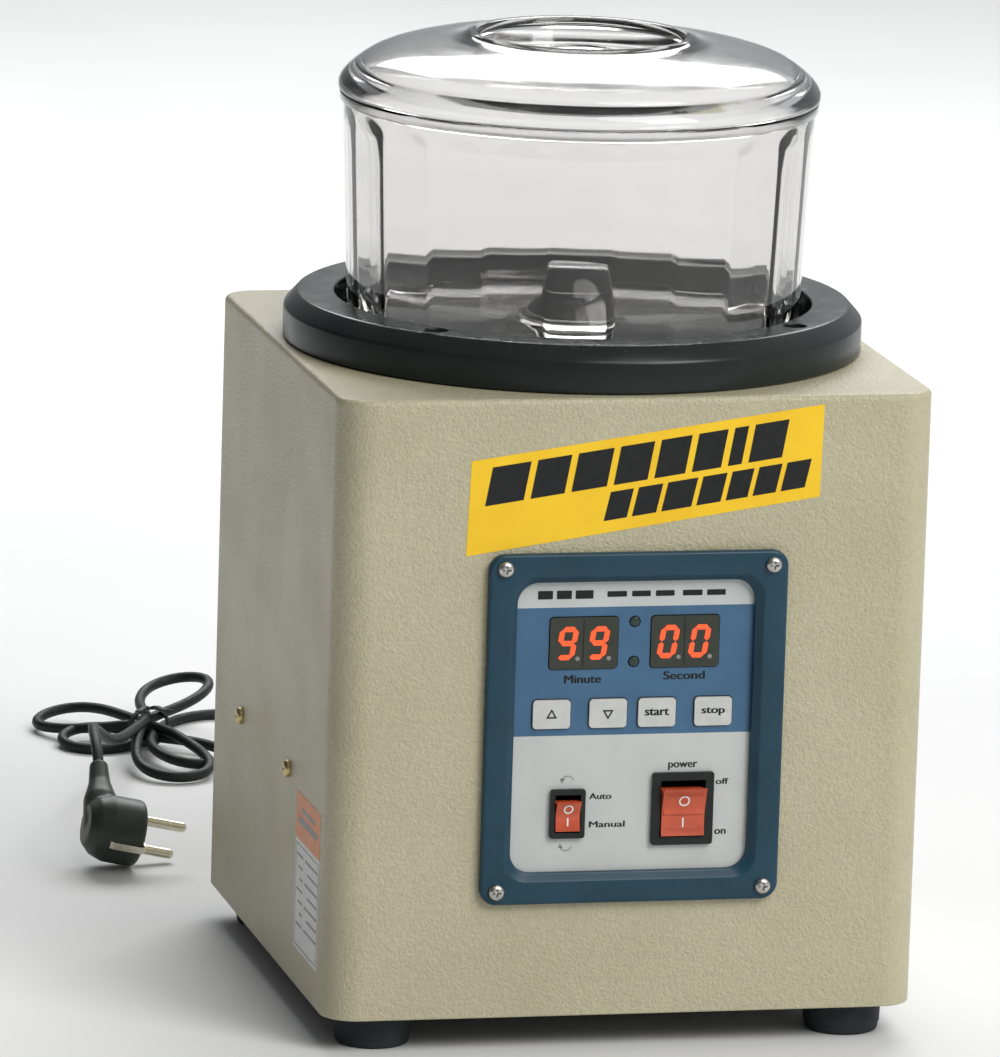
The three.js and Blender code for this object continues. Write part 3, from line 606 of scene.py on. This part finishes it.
def housing_case():
    """A shell with round corners, open below, with its opening, window, gland, vents and screw holes."""
    width, depth, corner = 2 * SIDE, BACK - FRONT, 15

    def level(z, inset):
        outline = rounded(width - 2 * inset, depth - 2 * inset, corner - inset, 12, 1.0)
        return [(u, v + MID_Y, z) for u, v in outline]

    outside = [level(BOTTOM, 0.0), level(17.0, 0.0), level(TOP - 3.4, 0.0), level(TOP - EDGE, 0.0)]
    for a in (radians(22), radians(45), radians(68), radians(90)):
        outside.append(level(TOP - EDGE + EDGE * sin(a), EDGE - EDGE * cos(a)))
    outside.append(level(TOP, 4.0))
    inside = [level(TOP - 1.5, 4.0), level(TOP - 1.5, 1.9), level(BOTTOM, 1.9), level(15.0, 1.2),
              level(15.0, 0.3)]
    count = len(outside[0])
    verts, faces = loft(outside + inside, ring=True)
    # The ring runs outside, under the top and inside; close the top sheet across its middle.
    top_loop = [len(outside) * count - count + i for i in range(count)]
    under_loop = [len(outside) * count + i for i in range(count)]
    faces = [f for f in faces if not (set(f) <= set(top_loop + under_loop))]
    faces += [top_loop, under_loop[::-1]]
    case = solid("housing_case", verts, faces)
    window = prism(rounded(107, 129, 6, 6), lambda u, v, d: (u, FRONT - 4 + d, v + PANEL_Z), 8)
    cutters = [merged("hole", [turned(through(TOP_OPENING), (0, MID_Y, TOP), (0, 0, 1), 96)]),
               merged("window", [window]),
               merged("gland", [turned(through(6.5), (CORD_X, BACK, CORD_Z), (0, 1, 0), 32)])]
    for row in VENT_ROWS:
        slot = prism(rounded(84, 4, 1.9, 6, 0.1), lambda u, v, d: (u, BACK - 4 + d, v + row), 8)
        cutters.append(merged("vent", [slot]))
    for side in (-1, 1):
        for y in SIDE_SCREWS_Y:
            place = (SIDE * side, y + MID_Y, SIDE_SCREWS_Z)
            cutters.append(merged("screw_hole", [turned(through(2.3), place, (side, 0, 0), 20)]))
    return combine(case, cutters)


placed(housing_case(), "housing", paint, ["housing_shell"])

foot_profile = [[2.6, 7], [6.2, 7], [6.2, 0.6], [6.8, 0.1], [14.2, 0.1], [15.2, 0.5], [15.6, 1.4], [15.8, 3.4],
                [16.25, 3.9], [16.3, 5.2], [16.7, 12.6], [16.5, 14.1], [15.8, 14.7], [2.6, 14.7], [2.6, 7]]
for index, node in enumerate(sorted(n for n in NODES if n.startswith("foot_") and "screw" not in n)):
    low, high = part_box(node)
    cx, cy = (low.x + high.x) / 2 / MM, (low.y + high.y) / 2 / MM
    foot = merged(f"rubber_foot_{index + 1}", [turned(foot_profile, (cx, cy, 0), (0, 0, 1), 56)])
    placed(foot, "housing", rubber, [node])

# ---- collar ----
collar_profile = [[0, 278.8], [122.6, 278.8], [123.5, 279.6], [123.5, 281], [123.5, 291.2], [123.3, 292.1],
                  [122.7, 292.9], [118.1, 298.0], [117.4, 298.4], [116.6, 298.5], [102.9, 298.5], [102.2, 298.3],
                  [101.8, 297.7], [101.8, 283.4], [101.5, 283], [0, 283]]
ring = merged("collar_ring", [turned(collar_profile, (0, MID_Y, 0), (0, 0, 1), 160)])
COLLAR_TOP, SCREW_OFFSET = 298.5, 77.4
recess_profile = [[0, -6.5], [5, -6.5], [5, -0.5], [5.6, 0.4], [5.6, 2], [0, 2]]
screw_spots = [(sx * SCREW_OFFSET, sy * SCREW_OFFSET + MID_Y) for sx in (-1, 1) for sy in (-1, 1)]
combine(ring, [merged("recess", [turned(recess_profile, (x, y, COLLAR_TOP), (0, 0, 1), 32)])
               for x, y in screw_spots])
placed(ring, "housing", collar_black, ["collar"])


def screw(name, node, direction, finish, dome=0.55):
    """A pan-head screw with a cross recess, in its CAD node's place, pointing its head along direction."""
    low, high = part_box(node)
    middle, half = (low + high) / 2 / MM, (high - low) / 2 / MM
    direction = Vector(direction)
    radius = min(half)
    face = middle + direction * abs(half.dot(direction))
    length = 2 * abs(half.dot(direction))
    height = min(2.6, length * 0.4)
    profile = [[0, 0], [radius * 0.5, -0.05], [radius * 0.75, -0.2 - dome * 0.2],
               [radius * 0.93, -0.3 - dome * 0.8], [radius, -0.6 - dome], [radius, -height],
               [radius * 0.5, -height], [radius * 0.5, -length], [0, -length]]
    head = merged(name, [turned(profile, face, direction, 40)])
    side, other, along = frame_of(direction)
    arm, slit = radius * 0.58, radius * 0.13
    cutters = []
    for u, v in ((side, other), (other, side)):
        loops = []
        for depth, reach, thick in ((0.6, arm * 1.2, slit * 1.25), (-1.5, arm * 0.45, slit * 0.6)):
            loops.append([tuple(face + along * depth + u * (a * reach) + v * (b * thick))
                          for a, b in ((-1, -1), (1, -1), (1, 1), (-1, 1))])
        cutters.append(merged("slit", [loft(loops)]))
    combine(head, cutters)
    return placed(head, "housing", finish, [node])


for prefix, direction, finish, slot_name, dome in (("bezel_screw", (0, -1, 0), plated, "plated_screw", 0.7),
                                                   ("collar_screw", (0, 0, 1), plated, "plated_screw", 0.6),
                                                   ("side_screw", None, brassy, "zinc_screw", 0.7)):
    for node in sorted(n for n in NODES if n.startswith(prefix)):
        low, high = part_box(node)
        away = direction or ((1, 0, 0) if low.x > 0 else (-1, 0, 0))
        screw("pan_" + node, node, away, finish, dome)

# ---- bowl and lid ----
FLATS, FLAT_STEPS = 22, 12  # flats round the bowl, and points on each
FLAT_TURN = 3 * 2 * pi / (FLATS * FLAT_STEPS)
BOWL_BASE, BOWL_FLOOR, BOWL_RIM = 283.3, 288.3, 385.5
WALL_RADIUS, WALL_THICK = 96.2, 4  # the outer wall's radius at the base, and the wall's thickness


def flare(height):
    """How far the bowl's walls have leaned out at a height."""
    return (height - BOWL_BASE) / 102.2 * 4.4


def flat_sided(radius, height, angle):
    """The bowl's inner wall: flats with small arches below the rim."""
    if radius < 90 or radius > 97.4 or height < BOWL_FLOOR + 3:
        return radius
    full = WALL_RADIUS - WALL_THICK + flare(height)
    if radius > full + 0.05:
        return radius
    fade = min(1, max(0, (BOWL_RIM - 5 - height) / 9))
    phase = ((angle + FLAT_TURN) % (2 * pi / FLATS)) - pi / FLATS
    flat = full * (1 - 0.0165 * fade)
    return min(radius, flat / cos(phase))


bowl_profile = [[0, BOWL_BASE], [60, BOWL_BASE], [94.6, BOWL_BASE], [95.8, 283.7]]
bowl_profile += [[WALL_RADIUS + flare(z), z] for z in (284.6, 300, 325, 350, 372, 380.6)]
bowl_profile += [[101.5, 381.2], [101.9, 382.0], [101.9, 384.6], [101.4, 385.3], [100.9, BOWL_RIM],
                 [97.4, BOWL_RIM], [96.9, 385.3], [96.6, 384.7]]
inner_levels = (381.5, 380.5, 379, 377.2, 375.2, 373, 371, 360, 340, 320, 305, 295, 291.5)
bowl_profile += [[WALL_RADIUS - WALL_THICK + flare(z), z] for z in inner_levels]
# Across the floor and up the raised middle.
bowl_profile += [[91.9, 289.6], [91.0, 288.7], [89.8, 288.35], [88, BOWL_FLOOR], [27.5, BOWL_FLOOR], [25.4, 288.6],
                 [24, 289.6], [21, 296], [15.5, 305], [12.2, 309.5], [10, 311.4], [7, 312.2], [0, 312.3]]
bowl = merged("clear_bowl", [turned(bowl_profile, (0, MID_Y, 0), (0, 0, 1), FLATS * FLAT_STEPS, flat_sided)])
placed(bowl, "bowl", clear, ["bowl"], sharp=28)

LID_BASE = 385.8
# Heights above the base: the rim and dome, the finger well, then back along the underside.
dome = [[102.1, 0], [102.5, 0.5], [102.5, 3.0], [101.6, 5.0], [100.2, 6.9], [98.2, 8.9], [96, 10.8], [92.7, 13.2],
        [89, 15.5], [84.2, 17.5], [79, 19.1], [72.3, 20.7], [65, 21.9], [57.4, 23.1], [50.4, 24.0], [49.0, 24.5],
        [48.2, 25.3], [47.5, 25.7], [45.6, 25.7], [44.6, 25.4], [43.6, 24.3], [43.2, 22.9], [42.5, 15.2],
        [42.0, 14.3], [41.2, 14.1], [21.6, 14.1], [20.7, 14.5], [20.3, 15.4], [19.8, 17.4], [19.3, 18.0],
        [18.4, 18.1], [15.2, 18.1], [14.6, 17.4], [13.9, 17.1], [0, 17.1], [0, 11.1], [43.8, 11.1], [45.0, 11.6],
        [45.7, 12.8], [46.9, 20.2], [47.9, 21.0], [56.8, 20.1], [64.4, 18.9], [71.6, 17.7], [78.2, 16.2],
        [83.0, 14.7], [87.4, 12.8], [90.9, 10.6], [93.0, 8.6], [93.4, 7.4], [93.4, -5.4], [93.9, -6], [95.4, -6],
        [96, -5.4], [96, -0.4], [96.4, 0], [102.1, 0]]
lid = merged("clear_lid", [turned([[r, z + LID_BASE] for r, z in dome], (0, MID_Y, 0), (0, 0, 1), 176)])
placed(lid, "lid", lid_clear, ["lid"], sharp=28)
BLADES, BLADE_LEAN, BLADE_HALF = 16, 0.35, 0.35
fan = []
for k in range(BLADES):
    a = 2 * pi * k / BLADES
    x, y = 3.2 * cos(a), 3.2 * sin(a) + MID_Y
    u, v = 12.9 * cos(a + BLADE_LEAN), 12.9 * sin(a + BLADE_LEAN) + MID_Y
    nx, ny = -sin(a) * BLADE_HALF, cos(a) * BLADE_HALF
    fan.append(loft([[(x - nx, y - ny, z), (x + nx, y + ny, z), (u + nx, v + ny, z), (u - nx, v - ny, z)]
                     for z in (LID_BASE + 17.05, LID_BASE + 17.75)]))
hub_profile = [[0, 17.0], [3.6, 17.0], [3.6, 17.8], [3.2, 18.0], [0, 18.0]]
fan.append(turned(hub_profile, (0, MID_Y, LID_BASE), (0, 0, 1), 32))
placed(merged("lid_hub_fan", fan), "lid", lid_clear)

# ---- control panel ----
def panel_loop(width, height, radius, proud):
    return [(u, FRONT - proud, v + PANEL_Z) for u, v in rounded(width, height, radius, 9, 0.6)]


# Width, height, corner radius and how far proud of the wall: from the wall side out over the rim,
# across the face, down the sloping inner edge and back.
BEZEL = ((106.4, 128.4, 9.5, -1.6), (106.4, 128.4, 9.5, 0.3), (127.0, 148.5, 6.5, 0.3), (128, 149.5, 7, 0.9),
         (128, 149.5, 7, 2.9), (127.5, 149.0, 6.8, 3.5), (126.4, 147.9, 6.3, 3.9), (125.4, 146.9, 6, 4.0),
         (109.5, 131.5, 9.6, 4.0), (108.2, 130.2, 9.4, 3.95), (107.2, 129.2, 9.3, 3.7), (103.4, 125.4, 9.1, 1.1),
         (102.3, 124.3, 9, 0.8), (102, 124, 9, 0.4), (102, 124, 9, -1.6))
bezel_loops = [panel_loop(*row) for row in BEZEL]
bezel = merged("bezel_frame", [loft(bezel_loops, ring=True)])
placed(bezel, "housing", bezel_blue, ["panel_bezel"])

PRINT_Y = FRONT + 2.0  # the printed plate's own face
KEY_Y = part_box("button_up")[0].y / MM


def lettering(name, words, width, height, centre, stroke=0.3, y=PRINT_Y, body="housing"):
    """Plain generic words, fitted to a width and height in millimetres, on a face that looks to -Y.
    Three copies a little apart make the strokes bolder."""
    text = bpy.data.curves.new(name, "FONT")
    text.body, text.align_x, text.align_y = words, "CENTER", "CENTER"
    text.size, text.extrude, text.resolution_u = 1.0, 0.01, 4
    letters = linked(name, text)
    bpy.context.view_layer.update()
    mesh = bpy.data.meshes.new_from_object(letters.evaluated_get(bpy.context.evaluated_depsgraph_get()))
    bpy.data.objects.remove(letters)
    points = [v.co.copy() for v in mesh.vertices]
    low = [min(p[i] for p in points) for i in range(3)]
    span = [max(p[i] for p in points) - low[i] for i in range(3)]
    faces = [tuple(f.vertices) for f in mesh.polygons]
    bpy.data.meshes.remove(mesh)
    parts = []
    for copy, shift in enumerate((-stroke / 2, 0, stroke / 2)):
        rise = 0.08 + 0.015 * copy
        parts.append(([(centre[0] + ((p.x - low[0]) / span[0] - 0.5) * (width - stroke) + shift,
                        y + 0.02 - rise * (p.z - low[2]) / span[2],
                        centre[1] + ((p.y - low[1]) / span[1] - 0.5) * height) for p in points], faces))
    return placed(merged(name, parts), body, print_black)


lettering("legend_minute", "Minute", 16, 3.5, (-21.7, 159.2), 0.45)
lettering("legend_second", "Second", 18, 3.5, (21.9, 160.0), 0.45)
lettering("legend_auto", "Auto", 9.7, 2.6, (-12.4, 108.9))
lettering("legend_manual", "Manual", 15.5, 2.6, (-9.2, 96.8))
lettering("legend_power", "power", 12.6, 3.3, (22.7, 121.0))
lettering("legend_off", "off", 5.6, 2.5, (39.9, 114.1))
lettering("legend_on", "on", 5.0, 2.1, (39.8, 92.4))
lettering("mark_start", "start", 10.6, 2.9, (10.5, 144.7), 0.42, KEY_Y, "button_start")
lettering("mark_stop", "stop", 10.2, 3.5, (34.7, 144.4), 0.42, KEY_Y, "button_stop")


def outlined_triangle(name, body, cx, cz, way):
    outer, inner = [[(cx + r * sin(a), cz + way * (r * cos(a) - 0.2)) for a in (0, 2 * pi / 3, 4 * pi / 3)]
                    for r in (2.7, 1.5)]
    loops = [[(u, KEY_Y + y, v) for u, v in outline]
             for y, outline in ((0.02, outer), (-0.1, outer), (-0.1, inner), (0.02, inner))]
    placed(merged(name, [loft(loops, ring=True)]), body, print_black)


outlined_triangle("mark_up", "button_up", -34.7, 144.4, 1)
outlined_triangle("mark_down", "button_down", -10.5, 144.4, -1)

# A black ring on the plate round each key: painted shade of the gap between key and plate.
key_gap_shade = []
for node in ("button_up", "button_down", "button_start", "button_stop"):
    low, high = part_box(node)
    cx, cz = (low.x + high.x) / 2 / MM, (low.z + high.z) / 2 / MM
    loops = []
    for y, grow in ((0.02, 0.9), (-0.06, 0.9), (-0.06, 0.02), (0.02, 0.02)):
        shape = rounded((high.x - low.x) / MM + grow, (high.z - low.z) / MM + grow, 1.6 + grow / 2, 6, 0.1)
        loops.append([(cx + u, PRINT_Y + y, cz + v) for u, v in shape])
    key_gap_shade.append(loft(loops, ring=True))
placed(merged("key_gap_painted_shade", key_gap_shade), "housing", print_black)

# Generic header bars where the photographed panel has its words.
header = [prism(rounded(w, h, 0.3, 2, 0.05), lambda u, v, d, x=x: (u + x, PRINT_Y + 0.02 - d, v + 195.2), 0.1)
          for x, w, h in ((-38.7, 6.4, 3.6), (-30.6, 6.4, 3.6), (-22.0, 7.6, 3.6), (-8.0, 8.4, 2.4),
                          (2.4, 8.0, 2.4), (12.6, 8.0, 2.4), (24.4, 8.4, 2.4), (34.6, 8.0, 2.4))]
placed(merged("header_bars", header), "housing", print_black)

# Rotation marks above and below the small rocker.
arrows = []
for cz, way in ((116.4, 1), (87.2, -1)):
    arc = arc_points(-26.6, cz - way * 1.2, 2.6, radians(20), radians(160), 12)
    arc = [(u, cz - way * 1.2 + (v - (cz - way * 1.2)) * way) for u, v in arc]
    for (u0, v0), (u1, v1) in zip(arc, arc[1:]):
        n = Vector((v0 - v1, u1 - u0)).normalized() * 0.22
        loops = [[(u0 - n.x, y, v0 - n.y), (u1 - n.x, y, v1 - n.y), (u1 + n.x, y, v1 + n.y),
                  (u0 + n.x, y, v0 + n.y)] for y in (PRINT_Y + 0.02, PRINT_Y - 0.08)]
        arrows.append(loft(loops))
    u, v = arc[-1]
    tip = [(u - 1.0, v + way * 0.6), (u + 1.3, v + way * 0.5), (u - 0.1, v - way * 1.5)]
    arrows.append(loft([[(a, y, b) for a, b in tip] for y in (PRINT_Y + 0.02, PRINT_Y - 0.08)]))
placed(merged("rotation_marks", arrows), "housing", label_grey)

# Displays: lit digits behind dark windows, a divider and a decimal dot by each digit.
SEGMENTS = {"0": "abcdef", "9": "abcdfg"}
SLANT = tan(radians(9))
DIGIT_H, DIGIT_W, STROKE = 14.2, 8.1, 2.25


def digit_parts(figure, cx, cz, y):
    h, w = DIGIT_H / 2 - STROKE / 2, DIGIT_W / 2 - STROKE / 2
    ends = {"a": ((-w, h), (w, h)), "b": ((w, h), (w, 0)), "c": ((w, 0), (w, -h)), "d": ((-w, -h), (w, -h)),
            "e": ((-w, 0), (-w, -h)), "f": ((-w, h), (-w, 0)), "g": ((-w, 0), (w, 0))}
    parts = []
    for letter in SEGMENTS[figure]:
        (u0, v0), (u1, v1) = ends[letter]
        along = Vector((u1 - u0, v1 - v0))
        length = along.length
        along.normalize()
        across = Vector((-along.y, along.x)) * (STROKE / 2)
        start, end = Vector((u0, v0)) + along * 0.12, Vector((u0, v0)) + along * (length - 0.12)
        cap = along * (STROKE / 2 - 0.1)
        outline = [start, start + cap + across, end - cap + across, end, end - cap - across, start + cap - across]
        place = [(cx + p.x + p.y * SLANT, cz + p.y) for p in outline]
        parts.append(loft([[(u, y + 0.02, v) for u, v in place], [(u, y - 0.12, v) for u, v in place]]))
    return parts


lit, dots, dividers = [], [], []
for node, figures in (("display_minutes", "99"), ("display_seconds", "00")):
    low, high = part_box(node)
    left, base, y = low.x / MM, low.z / MM, low.y / MM
    for figure, at in zip(figures, (7.4, 20.8)):
        lit += digit_parts(figure, left + at, base + 11, y)
        dots.append(turned([[0, -0.02], [0.95, -0.02], [0.95, 0.08], [0.7, 0.12], [0, 0.12]],
                           (left + at + 4.6, y, base + 4.4), (0, -1, 0), 20))
    dividers.append(block(left + 14.1, left + 14.6, y - 0.06, y + 0.1, base + 0.8, base + 21.2))
placed(merged("display_digits", lit), "housing", segment_red)
placed(merged("display_dots", dots), "housing", label_grey)
placed(merged("display_dividers", dividers), "housing", print_black)


# Marks that follow a rocker's curved face.
def face_finder(node):
    mesh = NODES[node].data
    tree = BVHTree.FromPolygons([v.co.copy() for v in mesh.vertices], [tuple(p.vertices) for p in mesh.polygons])

    def y_at(x, z):
        hit = tree.ray_cast(Vector((x * MM, -1, z * MM)), Vector((0, 1, 0)))[0]
        return hit.y / MM
    return y_at


def draped(inner, outer, y_at, rise):
    """The loops of a strip between two matching outlines, laid on a face and rise proud of it."""
    return [[(a, y_at(a, b) + 0.03, b), (a, y_at(a, b) - rise, b), (c, y_at(c, d) - rise, d),
             (c, y_at(c, d) + 0.03, d)] for (a, b), (c, d) in zip(inner, outer)]


for name, radius, stroke in (("mode_rocker", 1.75, 0.62), ("power_rocker", 2.05, 0.6)):
    low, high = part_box(name)
    cx, cz = (low.x + high.x) / 2 / MM, (low.z + high.z) / 2 / MM
    half = (high.z - low.z) / 2 / MM
    y_at = face_finder(name)
    ring_z, bar_z = cz + half * 0.46, cz - half * (0.45 if name == "power_rocker" else 0.40)
    steps = 28
    inner, outer = [arc_points(cx, ring_z, r, 0, 2 * pi * (steps - 1) / steps, steps - 1)
                    for r in (radius - stroke / 2, radius + stroke / 2)]
    marks = [loft(draped(inner, outer, y_at, 0.07), ring=True)]
    zs = [bar_z - radius + 2 * radius * k / 6 for k in range(7)]
    left, right = [[(cx + side * stroke / 2, z) for z in zs] for side in (-1, 1)]
    marks.append(loft(draped(left, right, y_at, 0.07)))
    placed(merged(name + "_marks", marks), name, print_white)
    ridges = []
    wide = (high.x - low.x) / 2 / MM - 1.2
    for share in ((0.80, 0.70, -0.70, -0.80) if name == "power_rocker" else (0.84, -0.84)):
        z = cz + half * share
        xs = [cx - wide + 2 * wide * k / 8 for k in range(9)]
        ridges.append(loft(draped([(x, z - 0.25) for x in xs], [(x, z + 0.25) for x in xs], y_at, 0.22)))
    if name == "power_rocker":
        # A half-round rib across the middle, which catches the light.
        profile = [(1.3 * cos(a), 0.6 * sin(a)) for a in (pi * k / 8 for k in range(9))]
        rib_z = cz - 0.4
        loops = [[(x, y_at(x, rib_z + dz) + 0.05 - out, rib_z + dz) for dz, out in profile]
                 for x in (cx - wide - 0.5, cx - wide * 0.98, cx, cx + wide * 0.98, cx + wide + 0.5)]
        ridges.append(loft(loops))
    placed(merged(name + "_ridges", ridges), name, rocker_red)

# ---- labels ----
corners = [(-72.3, 252.8), (-73.6, 212.7), (77.1, 235.6), (77.8, 274.8)]
yellow = merged("front_label", [loft([[(x, FRONT + 0.02, z) for x, z in corners],
                                      [(x, FRONT - 0.16, z) for x, z in corners]])])
placed(yellow, "housing", label_yellow)


def on_label(s, t):
    """A point on the front label: s along it from the left, t up it, both 0 to 1."""
    tl, bl, br, tr = corners
    low = Vector(bl).lerp(Vector(br), s)
    high = Vector(tl).lerp(Vector(tr), s)
    return low.lerp(high, t)


BAR_GAP, BAR_LEAN = 0.22, 0.016  # the gap as a share of a bar, the lean as a share of the label
bars = []
for base, top, start, end, widths in ((0.50, 0.90, 0.045, 0.885, (1.25, 1.1, 1.15, 1.1, 1.0, 0.95, 0.45, 1.1)),
                                      (0.13, 0.43, 0.385, 0.955, (1.0, 1.05, 1.3, 1.05, 0.95, 1.0, 1.05))):
    unit = (end - start) / (sum(widths) + BAR_GAP * (len(widths) - 1))
    s = start
    for w in widths:
        quad = [on_label(s, base), on_label(s + w * unit, base), on_label(s + w * unit + BAR_LEAN, top),
                on_label(s + BAR_LEAN, top)]
        bars.append(loft([[(p.x, FRONT - 0.14, p.y) for p in quad], [(p.x, FRONT - 0.24, p.y) for p in quad]]))
        s += (w + BAR_GAP) * unit
placed(merged("front_label_bars", bars), "housing", print_black)


def side_panel(name, parts, finish, depth0, depth1):
    slabs = [block(-SIDE - depth1, -SIDE - depth0, y0 + MID_Y, y1 + MID_Y, z0, z1) for y0, y1, z0, z1 in parts]
    placed(merged(name, slabs), "housing", finish)


side_panel("side_label_white", [(-107.5, -60.5, 31.3, 79.0)], label_white, -0.02, 0.14)
side_panel("side_label_orange", [(-107.5, -60.5, 79.0, 99.0)], label_orange, -0.02, 0.14)
rule_rows = (72, 67, 62, 57, 52, 47, 42)
rules = [(-104.5, -80 - 5 * (k % 2), z, z + 1.1) for k, z in enumerate(rule_rows)]
rules += [(-76, -64.5 - 3 * (k % 3), z, z + 1.1) for k, z in enumerate(rule_rows)]
rules += [(-103, -66, 86.2, 89.2), (-97, -72, 91.6, 93.6)]
border = [(-105.9, -62.1, 33.0, 33.5), (-105.9, -62.1, 76.6, 77.1), (-105.9, -105.4, 33.0, 77.1),
          (-62.6, -62.1, 33.0, 77.1)]
side_panel("side_label_bars", rules + border, label_grey, 0.1, 0.2)

# ---- carried-over nodes ----
FINISHES = (("base_plate", base_paint, 0.3), ("foot_screw", plated, 0.25), ("face_plate", panel_overlay, 0.15),
            ("circuit_board", board_green, 0.2), ("display_", window_dark, 0.7), ("timer_lamp", lamp_dark, 0.5),
            ("button_", key_grey, 0.5), ("mode_switch_frame", switch_black, 0.45),
            ("power_switch_frame", switch_black, 0.45), ("mode_rocker", rocker_red, 0.45),
            ("power_rocker", rocker_red, 0.5), ("motor_bracket", bracket_steel, 0.4), ("motor_body", alloy, 0.8),
            ("motor_shaft", shaft_steel, 0.4), ("magnet_disc", disc_alloy, 0.6), ("magnet_", magnet_plate, 0.5),
            ("transformer", core_steel, 0.6), ("plug_pin", pin_plating, 0.5))
replaced = {n for o in bpy.data.objects for n in o.get("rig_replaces", [])}
for name, node in NODES.items():
    if name in replaced:
        continue
    prefix, finish, edge = next(f for f in FINISHES if name.startswith(f[0]))
    node.data.materials.clear()
    node.data.materials.append(finish)
    softened(node, edge)
    node.data.shade_smooth()
    node.data.set_sharp_from_angle(angle=radians(32))
    node.modifiers.new("normals", "WEIGHTED_NORMAL").keep_sharp = True

# ---- floor and light ----
floor_mesh = bpy.data.meshes.new("floor")
floor_mesh.from_pydata([(-12, -8, 0), (14, -8, 0), (14, 30, 0), (-12, 30, 0)], [], [(0, 1, 2, 3)])
floor_mesh.materials.append(floor_pale)
floor = linked("floor", floor_mesh)

world = bpy.data.worlds.new("studio")
world.use_nodes = True
sky = world.node_tree.nodes["Background"]
sky.inputs["Color"].default_value = (0.96, 0.975, 1.0, 1)
# The room is darker towards -X, as the photographed side wall is.
room = world.node_tree
way = add(room, "ShaderNodeTexCoord")
parts = add(room, "ShaderNodeSeparateXYZ")
room.links.new(way.outputs["Generated"], parts.inputs["Vector"])
room.links.new(ramp(room, parts.outputs["X"], 0.05, 0.5, -0.8, 0.6), sky.inputs["Strength"])
bpy.context.scene.world = world


def area_light(name, place, target, size, power, colour):
    lamp = bpy.data.lights.new(name, "AREA")
    lamp.shape, lamp.size, lamp.size_y, lamp.energy, lamp.color = "RECTANGLE", size[0], size[1], power, colour
    obj = linked(name, lamp)
    way = Vector(target) - Vector(place)
    obj.matrix_world = Matrix.Translation(place) @ way.to_track_quat("-Z", "Y").to_matrix().to_4x4()


area_light("key", (1.3, -2.0, 1.7), (0, 0, 0.2), (1.2, 1.2), 26, (1.0, 0.985, 0.95))
area_light("back", (0.6, 2.3, 2.1), (0, 0, 0.35), (2.4, 1.3), 60, (1.0, 1.0, 1.0))
sun = bpy.data.lights.new("broad", "SUN")
sun.energy, sun.angle, sun.color = 1.12, radians(35), (1.0, 0.99, 0.97)
broad = linked("broad", sun)
broad.matrix_world = Vector((-0.35, 0.75, -0.95)).to_track_quat("-Z", "Y").to_matrix().to_4x4()
# The default view transform dulls the yellow and lifts the blacks.
bpy.context.scene.view_settings.view_transform = "Standard"
